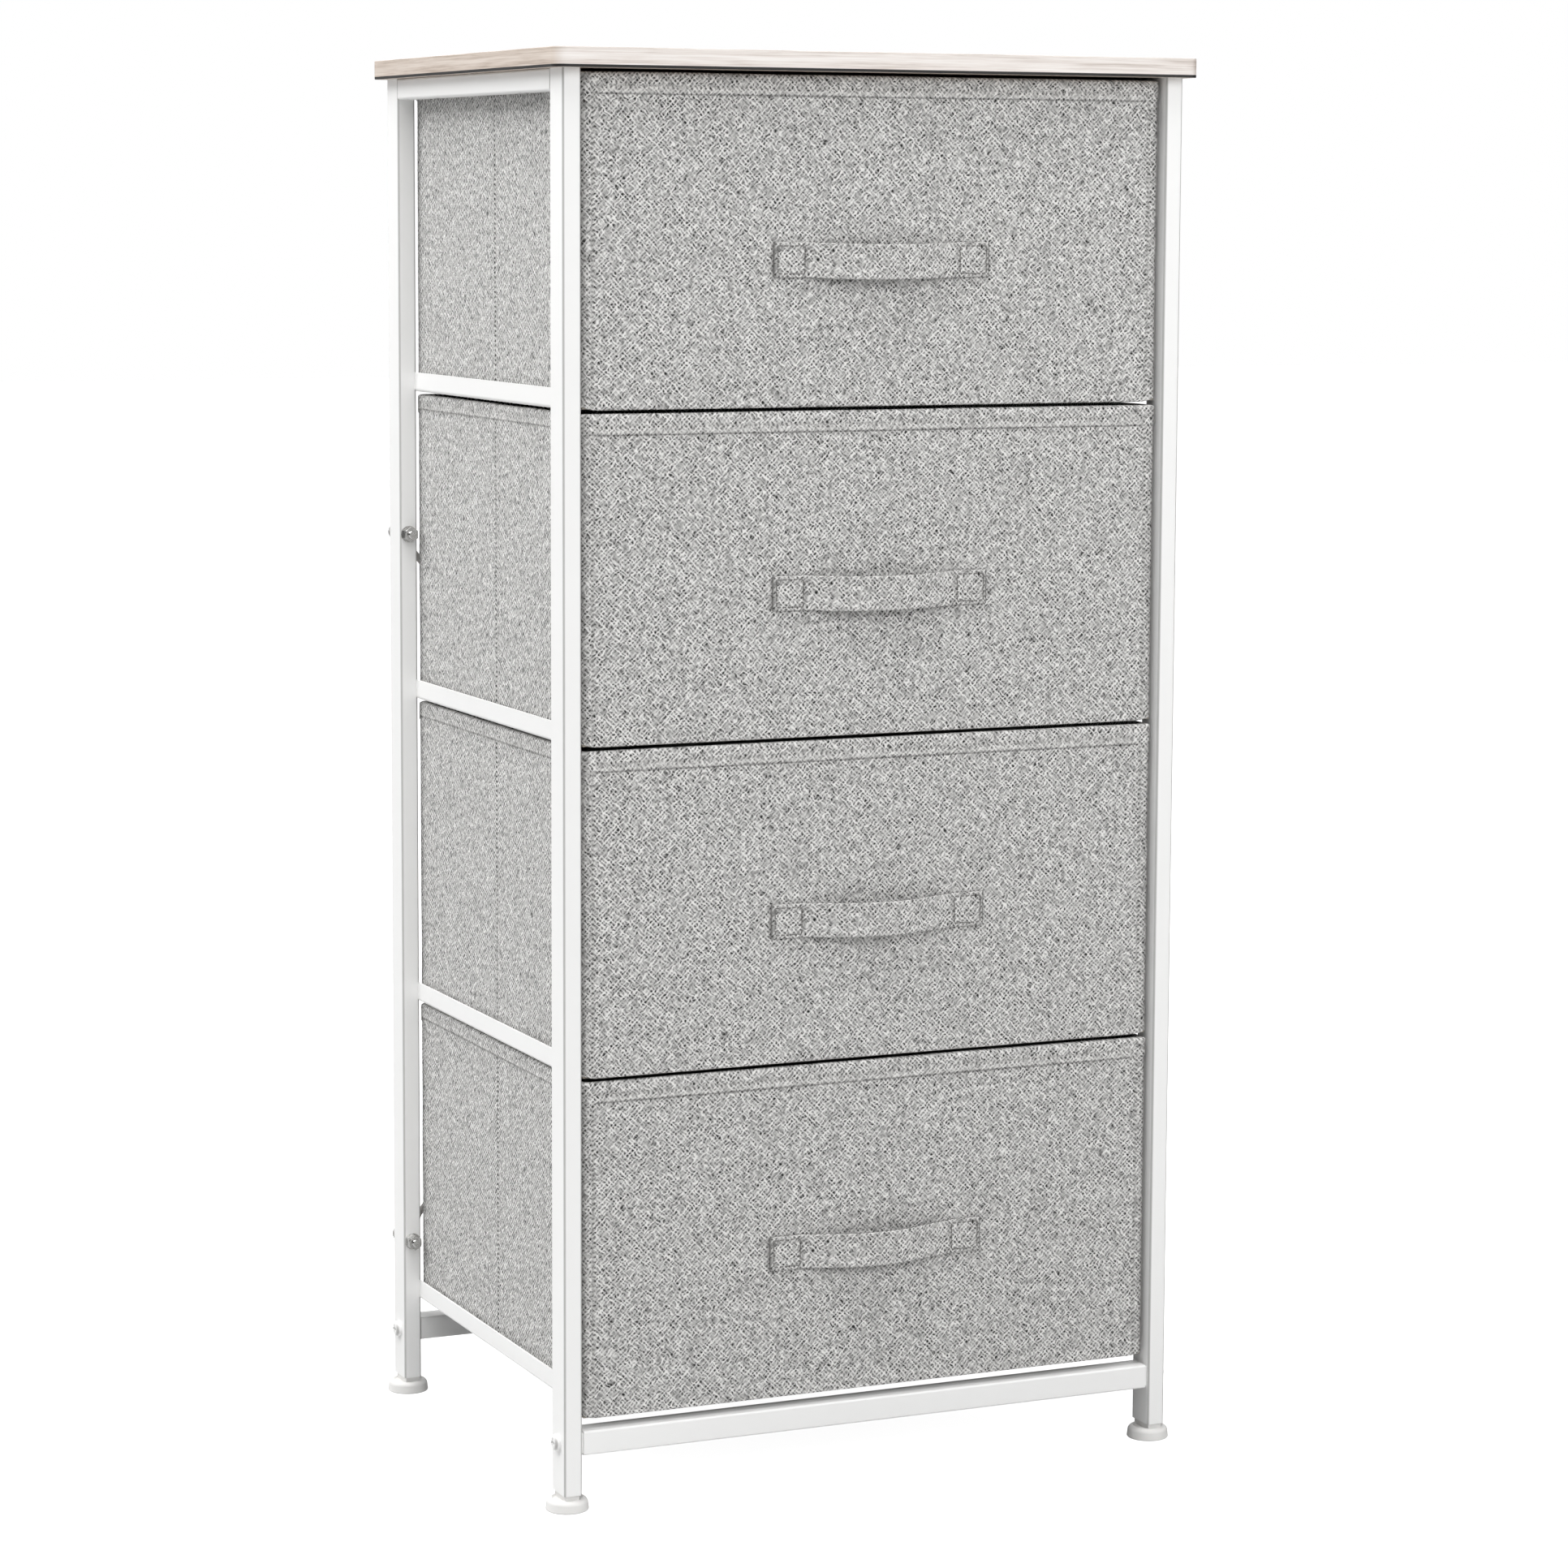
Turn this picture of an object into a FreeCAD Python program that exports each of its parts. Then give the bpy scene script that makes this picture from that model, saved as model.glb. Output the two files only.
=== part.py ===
"""Fabric drawer dresser: four cloth drawers in a powder-coated steel frame under a thin board.

Millimetres. The origin is on the floor, under the middle of the board. +Z is up, and the
drawers open towards -Y. Every piece is written to its own STEP file in parts/.
"""
import FreeCAD, Part
import math
import os

# ---------------------------------------------------------------- driving dimensions
# Whole object
BOARD_WIDTH = 400.0
BOARD_DEPTH = 310.0
OVERALL_HEIGHT = 822.0
DRAWER_COUNT = 4

# Board on top
BOARD_THICKNESS = 11.0
BOARD_CORNER_RADIUS = 7.0
BANDING_THICKNESS = 1.0
BANDING_EDGE_RADIUS = 0.4
SIDE_OVERHANG = 7.0
END_OVERHANG = 8.0

# Posts, rectangular tube
POST_WIDTH = 11.0
POST_DEPTH = 20.0
POST_WALL = 1.2
POST_CORNER_RADIUS = 1.5

# Rails under the board, one a side
TOP_RAIL_HEIGHT = 12.5
TOP_RAIL_WALL = 1.2

# Angles that carry the drawers, one pair to a drawer
ANGLE_HEIGHT = 11.5
ANGLE_LEDGE = 12.0
ANGLE_SHEET = 1.2
ANGLE_BEND_RADIUS = 0.8
BOTTOM_RAIL_HEIGHT = 60.0

# Cross rails that join the two side frames
CROSS_RAIL_BASE = 32.5
CROSS_RAIL_HEIGHT = 14.0
CROSS_RAIL_DEPTH = 15.0
CROSS_RAIL_SETBACK = 1.0
CROSS_RAIL_WALL = 1.0
CROSS_RAIL_CORNER_RADIUS = 1.2
CROSS_RAIL_END_GAP = 1.3
INSERT_LENGTH = 18.0
INSERT_CLEARANCE = 0.1
CROSS_SCREW_RADIUS = 2.5
CROSS_SCREW_BITE = 13.0
CROSS_SCREW_HEAD_RADIUS = 4.8
CROSS_SCREW_HEAD_HEIGHT = 3.3

# Crossed rods that brace the back
ROD_RADIUS = 2.0
ROD_CROSSING_GAP = 0.2
TAB_THICKNESS = 2.0
TAB_WIDTH = 10.0
TAB_LENGTH = 10.0
TAB_TRANSITION = 7.0
BRACE_TOP_RISE = 101.0
BRACE_BOTTOM_RISE = 36.7
BRACE_BOLT_RADIUS = 2.5
BRACE_HEAD_RADIUS = 5.0
BRACE_HEAD_HEIGHT = 3.8
BRACE_SOCKET_WIDTH = 3.0
BRACE_SOCKET_DEPTH = 2.0
WASHER_RADIUS = 5.0
WASHER_THICKNESS = 1.0
NUT_WIDTH = 8.0
NUT_HEIGHT = 4.7
NUT_CHAMFER_ANGLE = 30.0
BOLT_END = 1.8

# Screws that hold the board, with their heads inside the rails
TOP_SCREW_RADIUS = 2.0
TOP_SCREW_BITE = 8.8
TOP_SCREW_HEAD_RADIUS = 3.5
TOP_SCREW_HEAD_HEIGHT = 2.0
TOP_SCREW_SPACING = 150.0
TOP_SCREW_ACCESS_CLEARANCE = 0.4

# Drilled holes and threads, on the radius, and the form of the screws' heads
HOLE_CLEARANCE = 0.25
THREAD_CLEARANCE = 0.05
RECESS_WIDTH = 1.3
RECESS_SHARE = 0.6
HEAD_ROUNDING_SHARE = 0.65

# Feet, round glides with a stem that plugs the post
FOOT_RADIUS = 12.4
FOOT_TAPER = 0.4
FOOT_BOTTOM_RADIUS = 0.8
FOOT_SHOULDER_RADIUS = 3.2
FOOT_RIM_HEIGHT = 7.2
FOOT_DISH_DEPTH = 0.8
FOOT_SEAT_HEIGHT = 10.0
FOOT_SEAT_INSET = 1.4
STEM_LENGTH = 16.0
STEM_CLEARANCE = 0.1

# Drawers
DRAWER_SIDE_GAP = 2.0
DRAWER_FRONT_SETBACK = 5.0
DRAWER_BACK_SETBACK = 16.5
DRAWER_REST_GAP = 0.3
DRAWER_RIM_GAP = 1.8
DRAWER_SKIRT = 1.5
LOWEST_DRAWER_SKIRT = 9.6
FABRIC = 0.8
FRONT_BOARD_THICKNESS = 3.2
SIDE_BOARD_THICKNESS = 2.0
BACK_BOARD_THICKNESS = 2.0
BOTTOM_BOARD_THICKNESS = 2.5
BOTTOM_BOARD_CLEARANCE = 1.0
POCKET_CLEARANCE = 0.1
POCKET_MARGIN = 2.0
FOLD_SEAM_WIDTH = 4.0
SHELL_CORNER_RADIUS = 1.5

# Strap handles
HANDLE_LENGTH = 135.0
HANDLE_HEIGHT = 20.0
HANDLE_THICKNESS = 2.5
HANDLE_PATCH = 20.0
HANDLE_BOW = 7.5
HANDLE_RISE = 83.0
LOWEST_HANDLE_RISE = 85.5
HANDLE_SIDE_OFFSET = 2.5

# ---------------------------------------------------------------- sizes that follow
LEFT = -1
RIGHT = 1
FRONT = -1
BACK = 1
SIDES = {"left": LEFT, "right": RIGHT}
ENDS = {"front": FRONT, "back": BACK}
X_AXIS = FreeCAD.Vector(1, 0, 0)
Y_AXIS = FreeCAD.Vector(0, 1, 0)
Z_AXIS = FreeCAD.Vector(0, 0, 1)
ORIGIN = FreeCAD.Vector(0, 0, 0)
# A cutter runs this far past what it cuts
OVERCUT = 1.0
# An edge runs along an axis when the sine of the angle between them is under this
TURN_TOLERANCE = 0.001

board_underside = OVERALL_HEIGHT - BOARD_THICKNESS
frame_half_width = BOARD_WIDTH / 2 - SIDE_OVERHANG
frame_half_depth = BOARD_DEPTH / 2 - END_OVERHANG
post_inner_x = frame_half_width - POST_WIDTH
post_inner_y = frame_half_depth - POST_DEPTH
post_x = frame_half_width - POST_WIDTH / 2
post_y = frame_half_depth - POST_DEPTH / 2
drawer_pitch = (board_underside - BOTTOM_RAIL_HEIGHT) / DRAWER_COUNT
cross_rail_end = post_inner_x - CROSS_RAIL_END_GAP
cross_rail_y = frame_half_depth - CROSS_RAIL_SETBACK - CROSS_RAIL_DEPTH / 2
cross_screw_z = CROSS_RAIL_BASE + CROSS_RAIL_HEIGHT / 2


def angle_base(number):
    """Underside of the angles that carry a drawer. Drawer 1 is the top one."""
    return BOTTOM_RAIL_HEIGHT + (DRAWER_COUNT - number) * drawer_pitch


# The upper brace bolts sit in the bay of the second drawer, the lower ones in the lowest bay
brace_top_z = angle_base(2) + BRACE_TOP_RISE
brace_bottom_z = angle_base(DRAWER_COUNT) + BRACE_BOTTOM_RISE

drawer_half_width = post_inner_x - DRAWER_SIDE_GAP
drawer_front_y = -frame_half_depth + DRAWER_FRONT_SETBACK
drawer_back_y = frame_half_depth - DRAWER_BACK_SETBACK
pocket_layers = 2 * FABRIC + 2 * POCKET_CLEARANCE
front_wall = pocket_layers + FRONT_BOARD_THICKNESS
side_wall = pocket_layers + SIDE_BOARD_THICKNESS
back_wall = pocket_layers + BACK_BOARD_THICKNESS
cavity_half_width = drawer_half_width - side_wall
cavity_front_y = drawer_front_y + front_wall
cavity_back_y = drawer_back_y - back_wall


# ---------------------------------------------------------------- helpers
def block(low, high):
    """A box between two opposite corners."""
    size = [b - a for a, b in zip(low, high)]
    return Part.makeBox(size[0], size[1], size[2], FreeCAD.Vector(*low))


def mirrored_block(side, inner, outer, low_yz, high_yz):
    """A box from inner to outer, measured from the middle plane towards one side."""
    low_x = min(side * inner, side * outer)
    high_x = max(side * inner, side * outer)
    return block((low_x, low_yz[0], low_yz[1]), (high_x, high_yz[0], high_yz[1]))


def round_edges(solid, axis, radius):
    """Rounds every straight edge that runs along an axis."""
    if radius <= 0:
        return solid
    turns = [e.tangentAt(e.FirstParameter).cross(axis).Length for e in solid.Edges]
    edges = [e for e, turn in zip(solid.Edges, turns) if turn < TURN_TOLERANCE]
    return solid.makeFillet(radius, edges)


def grown(low, high, axis, across, along):
    """The same two corners, moved out across the axis and along it."""
    move = [along if axis[i] else across for i in range(3)]
    return [a - m for a, m in zip(low, move)], [b + m for b, m in zip(high, move)]


def tube(low, high, axis, wall, radius):
    """A rectangular tube along an axis, with rounded long edges and open ends."""
    outer = round_edges(block(low, high), axis, radius)
    inner_low, inner_high = grown(low, high, axis, -wall, OVERCUT)
    inner = round_edges(block(inner_low, inner_high), axis, radius - wall)
    return outer.cut(inner)


def rod_between(start, end, radius):
    """A round bar from one point to another."""
    way = end - start
    return Part.makeCylinder(radius, way.Length, start, way)


def pan_head(base, direction, radius, height):
    """A low screw head with a rounded top edge, standing on base."""
    head = Part.makeCylinder(radius, height, base, direction)
    top = base + direction * height
    rim = min(head.Edges, key=lambda e: (e.CenterOfMass - top).Length)
    return head.makeFillet(HEAD_ROUNDING_SHARE * height, [rim])


def cross_recess(base, direction, across, radius, height):
    """The cross cut into a screw head's top."""
    depth = RECESS_SHARE * height
    reach = RECESS_SHARE * radius
    other = direction.cross(across)
    cutter = None
    for one, two in ((across, other), (other, across)):
        corner = base + direction * (height - depth) - one * reach - two * (RECESS_WIDTH / 2)
        corners = [corner]
        corners.append(corner + one * (2 * reach))
        corners.append(corners[1] + two * RECESS_WIDTH)
        corners.append(corner + two * RECESS_WIDTH)
        face = Part.Face(Part.makePolygon(corners + [corner]))
        slot = face.extrude(direction * (depth + OVERCUT))
        cutter = slot if cutter is None else cutter.fuse(slot)
    return cutter


def polygon_prism(centre, direction, first, width, height):
    """A hexagonal bar of a given width across its flats."""
    corner = width / math.sqrt(3)
    other = direction.cross(first)
    points = []
    for step in range(7):
        turn = math.radians(60 * step)
        points.append(centre + first * (corner * math.cos(turn)) + other * (corner * math.sin(turn)))
    return Part.Face(Part.makePolygon(points)).extrude(direction * height)


def save(name, shape):
    """Writes one piece, or one group of equal pieces, under its name."""
    shape.exportStep("parts/" + name + ".step")


# ---------------------------------------------------------------- steel frame
def post_blank(side, end):
    """A post's outside, with no hollow and no holes."""
    low_x = side * post_x - POST_WIDTH / 2
    low_y = end * post_y - POST_DEPTH / 2
    low = (low_x, low_y, FOOT_SEAT_HEIGHT)
    high = (low_x + POST_WIDTH, low_y + POST_DEPTH, board_underside)
    return low, high


def post(side, end):
    """A corner post, drilled for its cross rail screw and, at the back, for the brace bolts."""
    low, high = post_blank(side, end)
    body = tube(low, high, Z_AXIS, POST_WALL, POST_CORNER_RADIUS)
    start = FreeCAD.Vector(low[0] - OVERCUT, end * post_y, cross_screw_z)
    finish = FreeCAD.Vector(high[0] + OVERCUT, end * post_y, cross_screw_z)
    body = body.cut(rod_between(start, finish, CROSS_SCREW_RADIUS + HOLE_CLEARANCE))
    if end == BACK:
        for height in (brace_top_z, brace_bottom_z):
            start = FreeCAD.Vector(side * post_x, low[1] - OVERCUT, height)
            finish = FreeCAD.Vector(side * post_x, high[1] + OVERCUT, height)
            body = body.cut(rod_between(start, finish, BRACE_BOLT_RADIUS + HOLE_CLEARANCE))
    return body


def top_rail(side):
    """A tube welded between two posts, flush with them, right under the board.

    A screw's head goes in through a hole in the lower wall, and bears on the upper one.
    """
    low_x = side * post_x - POST_WIDTH / 2
    low = (low_x, -post_inner_y, board_underside - TOP_RAIL_HEIGHT)
    high = (low_x + POST_WIDTH, post_inner_y, board_underside)
    rail = tube(low, high, Y_AXIS, TOP_RAIL_WALL, POST_CORNER_RADIUS)
    for x, y in top_screw_places(side):
        start = FreeCAD.Vector(x, y, low[2] - OVERCUT)
        hollow = FreeCAD.Vector(x, y, board_underside - TOP_RAIL_HEIGHT / 2)
        finish = FreeCAD.Vector(x, y, board_underside + OVERCUT)
        rail = rail.cut(rod_between(start, hollow, TOP_SCREW_HEAD_RADIUS + TOP_SCREW_ACCESS_CLEARANCE))
        rail = rail.cut(rod_between(hollow, finish, TOP_SCREW_RADIUS + HOLE_CLEARANCE))
    return rail


def drawer_angle(side, number):
    """A folded steel angle: its leg is welded between the posts, its ledge carries a drawer."""
    base = angle_base(number)
    reach = post_inner_y + POST_CORNER_RADIUS
    leg_outer = post_inner_x + ANGLE_SHEET
    leg = mirrored_block(side, post_inner_x, leg_outer, (-reach, base), (reach, base + ANGLE_HEIGHT))
    ledge_inner = post_inner_x - ANGLE_LEDGE
    ledge = mirrored_block(side, ledge_inner, leg_outer, (-reach, base), (reach, base + ANGLE_SHEET))
    angle = leg.fuse(ledge).removeSplitter()
    outer_bend = edge_along_y(angle, side * leg_outer, base)
    angle = angle.makeFillet(ANGLE_BEND_RADIUS + ANGLE_SHEET, [outer_bend])
    inner_bend = edge_along_y(angle, side * post_inner_x, base + ANGLE_SHEET)
    angle = angle.makeFillet(ANGLE_BEND_RADIUS, [inner_bend])
    for end in (FRONT, BACK):
        low, high = post_blank(side, end)
        angle = angle.cut(round_edges(block(low, high), Z_AXIS, POST_CORNER_RADIUS))
    return angle


def edge_along_y(solid, x, z):
    """The edge of a solid that runs along Y at one place of its section."""
    place = FreeCAD.Vector(x, 0, z)
    return min(solid.Edges, key=lambda e: (e.CenterOfMass - place).Length)


def cross_rail(end):
    """A tube between the left and right posts, near their outer faces and a hair short of them."""
    y = end * cross_rail_y
    low = (-cross_rail_end, y - CROSS_RAIL_DEPTH / 2, CROSS_RAIL_BASE)
    high = (cross_rail_end, y + CROSS_RAIL_DEPTH / 2, CROSS_RAIL_BASE + CROSS_RAIL_HEIGHT)
    return tube(low, high, X_AXIS, CROSS_RAIL_WALL, CROSS_RAIL_CORNER_RADIUS)


def cross_rail_insert(side, end):
    """The block in a cross rail's end. It meets the post and takes the screw."""
    inset = CROSS_RAIL_WALL + INSERT_CLEARANCE
    half_depth = CROSS_RAIL_DEPTH / 2 - inset
    base = CROSS_RAIL_BASE + inset
    top = CROSS_RAIL_BASE + CROSS_RAIL_HEIGHT - inset
    y = end * cross_rail_y
    low_yz = (y - half_depth, base)
    high_yz = (y + half_depth, top)
    body = mirrored_block(side, post_inner_x - INSERT_LENGTH, post_inner_x, low_yz, high_yz)
    body = round_edges(body, X_AXIS, CROSS_RAIL_CORNER_RADIUS - CROSS_RAIL_WALL)
    start = FreeCAD.Vector(side * (post_inner_x - INSERT_LENGTH - OVERCUT), end * post_y, cross_screw_z)
    finish = FreeCAD.Vector(side * (post_inner_x + OVERCUT), end * post_y, cross_screw_z)
    return body.cut(rod_between(start, finish, CROSS_SCREW_RADIUS + THREAD_CLEARANCE))


def cross_rail_screw(side, end):
    """A pan head screw through a post into the insert behind it."""
    out = FreeCAD.Vector(side, 0, 0)
    base = FreeCAD.Vector(side * frame_half_width, end * post_y, cross_screw_z)
    tip = base - out * (POST_WIDTH + CROSS_SCREW_BITE)
    screw = pan_head(base, out, CROSS_SCREW_HEAD_RADIUS, CROSS_SCREW_HEAD_HEIGHT)
    recess = cross_recess(base, out, Y_AXIS, CROSS_SCREW_HEAD_RADIUS, CROSS_SCREW_HEAD_HEIGHT)
    return screw.cut(recess).fuse(rod_between(tip, base, CROSS_SCREW_RADIUS))


# ---------------------------------------------------------------- brace at the back
def section_loft(start_x, end_x, rod_y):
    """Runs from a tab's flat section to the rod's round one, along local X."""
    flat = [(0, -TAB_WIDTH / 2), (TAB_THICKNESS, -TAB_WIDTH / 2)]
    flat += [(TAB_THICKNESS, TAB_WIDTH / 2), (0, TAB_WIDTH / 2)]
    corners = [FreeCAD.Vector(start_x, y, z) for y, z in flat]
    tab_wire = Part.makePolygon(corners + [corners[0]])
    arcs = []
    for quarter in range(4):
        points = []
        for share in (0, 0.5, 1):
            turn = math.radians(225 + 90 * (quarter + share))
            y = rod_y + ROD_RADIUS * math.cos(turn)
            z = ROD_RADIUS * math.sin(turn)
            points.append(FreeCAD.Vector(end_x, y, z))
        arcs.append(Part.Arc(points[0], points[1], points[2]).toShape())
    return Part.makeLoft([tab_wire, Part.Wire(arcs)], True, True)


def brace_rod(top_side, shift):
    """A rod from a back post's upper bolt to the other post's lower bolt, with flattened ends.

    shift moves the round part backwards (+) or forwards (-), so that the two rods pass.
    """
    start = FreeCAD.Vector(top_side * post_x, frame_half_depth, brace_top_z)
    end = FreeCAD.Vector(-top_side * post_x, frame_half_depth, brace_bottom_z)
    way = end - start
    length = way.Length
    rod_y = TAB_THICKNESS / 2 + shift
    round_start = TAB_LENGTH + TAB_TRANSITION
    round_end = length - round_start
    rod = rod_between(
        FreeCAD.Vector(round_start, rod_y, 0), FreeCAD.Vector(round_end, rod_y, 0), ROD_RADIUS)
    for centre, inward in ((0, 1), (length, -1)):
        hub = FreeCAD.Vector(centre, 0, 0)
        tab = Part.makeCylinder(TAB_WIDTH / 2, TAB_THICKNESS, hub, Y_AXIS)
        tab_end = centre + inward * TAB_LENGTH
        low = (min(centre, tab_end), 0, -TAB_WIDTH / 2)
        high = (max(centre, tab_end), TAB_THICKNESS, TAB_WIDTH / 2)
        tab = tab.fuse(block(low, high))
        tab = tab.fuse(section_loft(tab_end, centre + inward * round_start, rod_y))
        hole_base = FreeCAD.Vector(centre, -OVERCUT, 0)
        hole_top = FreeCAD.Vector(centre, TAB_THICKNESS + OVERCUT, 0)
        tab = tab.cut(rod_between(hole_base, hole_top, BRACE_BOLT_RADIUS + HOLE_CLEARANCE))
        rod = rod.fuse(tab)
    rod = rod.removeSplitter()
    slope = math.degrees(math.atan2(-way.z, way.x))
    rod.rotate(ORIGIN, Y_AXIS, slope)
    rod.translate(start)
    return rod


def brace_bolt(side, height):
    """A pan head bolt from behind, through the rod's tab and the post."""
    head_base = FreeCAD.Vector(side * post_x, frame_half_depth + TAB_THICKNESS, height)
    tip_y = post_inner_y - WASHER_THICKNESS - NUT_HEIGHT - BOLT_END
    tip = FreeCAD.Vector(side * post_x, tip_y, height)
    shank = rod_between(tip, head_base, BRACE_BOLT_RADIUS)
    rim = min(shank.Edges, key=lambda e: e.CenterOfMass.y)
    shank = shank.makeFillet(BOLT_END / 2, [rim])
    bolt = pan_head(head_base, Y_AXIS, BRACE_HEAD_RADIUS, BRACE_HEAD_HEIGHT).fuse(shank)
    socket_base = head_base + Y_AXIS * (BRACE_HEAD_HEIGHT - BRACE_SOCKET_DEPTH)
    socket = polygon_prism(socket_base, Y_AXIS, Z_AXIS, BRACE_SOCKET_WIDTH, BRACE_SOCKET_DEPTH + OVERCUT)
    return bolt.cut(socket)


def brace_washer(side, height):
    """The flat washer between a back post's front face and its nut."""
    seat = FreeCAD.Vector(side * post_x, post_inner_y, height)
    front = seat - Y_AXIS * WASHER_THICKNESS
    hole_start = front - Y_AXIS * OVERCUT
    hole_end = seat + Y_AXIS * OVERCUT
    return rod_between(front, seat, WASHER_RADIUS).cut(
        rod_between(hole_start, hole_end, BRACE_BOLT_RADIUS + HOLE_CLEARANCE))


def brace_nut(side, height):
    """The hexagon nut on its washer, in front of a back post."""
    back = FreeCAD.Vector(side * post_x, post_inner_y - WASHER_THICKNESS, height)
    front = back - Y_AXIS * NUT_HEIGHT
    nut = polygon_prism(front, Y_AXIS, Z_AXIS, NUT_WIDTH, NUT_HEIGHT)
    # A cone trims the six corners of the face that shows
    spread = NUT_HEIGHT / math.tan(math.radians(NUT_CHAMFER_ANGLE))
    cone = Part.makeCone(NUT_WIDTH / 2, NUT_WIDTH / 2 + spread, NUT_HEIGHT, front, Y_AXIS)
    nut = nut.common(cone)
    hole_start = front - Y_AXIS * OVERCUT
    hole_end = back + Y_AXIS * OVERCUT
    return nut.cut(rod_between(hole_start, hole_end, BRACE_BOLT_RADIUS + THREAD_CLEARANCE))


# ---------------------------------------------------------------- feet
def foot(side, end):
    """A round glide with a soft shoulder and a shallow dish. Its stem plugs the post."""
    shoulder = FOOT_SHOULDER_RADIUS
    top_radius = FOOT_RADIUS - FOOT_TAPER
    rim_radius = top_radius - shoulder
    dish_z = FOOT_RIM_HEIGHT - FOOT_DISH_DEPTH
    bend = math.sqrt(0.5)
    low_centre = (FOOT_RADIUS - FOOT_BOTTOM_RADIUS, FOOT_BOTTOM_RADIUS)
    low_mid = [low_centre[0] + FOOT_BOTTOM_RADIUS * bend, low_centre[1] - FOOT_BOTTOM_RADIUS * bend]
    high_centre = (rim_radius, FOOT_RIM_HEIGHT - shoulder)
    high_mid = (high_centre[0] + shoulder * bend, high_centre[1] + shoulder * bend)

    def at(r, z):
        return FreeCAD.Vector(r, 0, z)

    edges = [
        Part.makeLine(at(0, 0), at(low_centre[0], 0)),
        Part.Arc(at(low_centre[0], 0), at(*low_mid), at(FOOT_RADIUS, low_centre[1])).toShape(),
        Part.makeLine(at(FOOT_RADIUS, low_centre[1]), at(top_radius, high_centre[1])),
        Part.Arc(at(top_radius, high_centre[1]), at(*high_mid), at(rim_radius, FOOT_RIM_HEIGHT)).toShape(),
        Part.makeLine(at(rim_radius, FOOT_RIM_HEIGHT), at(rim_radius - FOOT_DISH_DEPTH, dish_z)),
        Part.makeLine(at(rim_radius - FOOT_DISH_DEPTH, dish_z), at(0, dish_z)),
        Part.makeLine(at(0, dish_z), at(0, 0)),
    ]
    glide = Part.Face(Part.Wire(edges)).revolve(ORIGIN, Z_AXIS, 360)
    seat_x = POST_WIDTH / 2 - FOOT_SEAT_INSET
    seat_y = POST_DEPTH / 2 - FOOT_SEAT_INSET
    seat_base = dish_z - OVERCUT
    seat = block((-seat_x, -seat_y, seat_base), (seat_x, seat_y, FOOT_SEAT_HEIGHT))
    seat = round_edges(seat, Z_AXIS, POST_CORNER_RADIUS)
    inset = POST_WALL + STEM_CLEARANCE
    stem_x = POST_WIDTH / 2 - inset
    stem_y = POST_DEPTH / 2 - inset
    stem_top = FOOT_SEAT_HEIGHT + STEM_LENGTH
    stem = block((-stem_x, -stem_y, seat_base), (stem_x, stem_y, stem_top))
    stem = round_edges(stem, Z_AXIS, POST_CORNER_RADIUS - POST_WALL)
    piece = glide.fuse(seat).fuse(stem).removeSplitter()
    piece.translate(FreeCAD.Vector(side * post_x, end * post_y, 0))
    return piece


# ---------------------------------------------------------------- board on top
def board_prism(inset, low_z, high_z):
    """The board's outline, moved in by inset, between two heights."""
    low = (-BOARD_WIDTH / 2 + inset, -BOARD_DEPTH / 2 + inset, low_z)
    high = (BOARD_WIDTH / 2 - inset, BOARD_DEPTH / 2 - inset, high_z)
    return round_edges(block(low, high), Z_AXIS, BOARD_CORNER_RADIUS - inset)


def top_screw_places(side):
    """Where the screws go up through a top rail."""
    return [(side * post_x, y) for y in (-TOP_SCREW_SPACING / 2, TOP_SCREW_SPACING / 2)]


def top_panel():
    """The board's core, drilled from below for its screws."""
    panel = board_prism(BANDING_THICKNESS, board_underside, OVERALL_HEIGHT)
    for side in (LEFT, RIGHT):
        for x, y in top_screw_places(side):
            start = FreeCAD.Vector(x, y, board_underside - OVERCUT)
            finish = FreeCAD.Vector(x, y, board_underside + TOP_SCREW_BITE + THREAD_CLEARANCE)
            panel = panel.cut(rod_between(start, finish, TOP_SCREW_RADIUS + THREAD_CLEARANCE))
    return panel


def edge_banding():
    """The thin band glued round the board's edge, with eased corners."""
    outer = board_prism(0, board_underside, OVERALL_HEIGHT)
    eased = []
    for edge in outer.Edges:
        level = edge.BoundBox.ZLength < BANDING_EDGE_RADIUS
        if level:
            eased.append(edge)
    outer = outer.makeFillet(BANDING_EDGE_RADIUS, eased)
    return outer.cut(board_prism(BANDING_THICKNESS, board_underside - OVERCUT, OVERALL_HEIGHT + OVERCUT))


def top_panel_screw(x, y):
    """A pan head screw up through a top rail's upper wall into the board."""
    down = FreeCAD.Vector(0, 0, -1)
    base = FreeCAD.Vector(x, y, board_underside - TOP_RAIL_WALL)
    tip = FreeCAD.Vector(x, y, board_underside + TOP_SCREW_BITE)
    head = pan_head(base, down, TOP_SCREW_HEAD_RADIUS, TOP_SCREW_HEAD_HEIGHT)
    recess = cross_recess(base, down, X_AXIS, TOP_SCREW_HEAD_RADIUS, TOP_SCREW_HEAD_HEIGHT)
    return head.cut(recess).fuse(rod_between(base, tip, TOP_SCREW_RADIUS))


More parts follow.
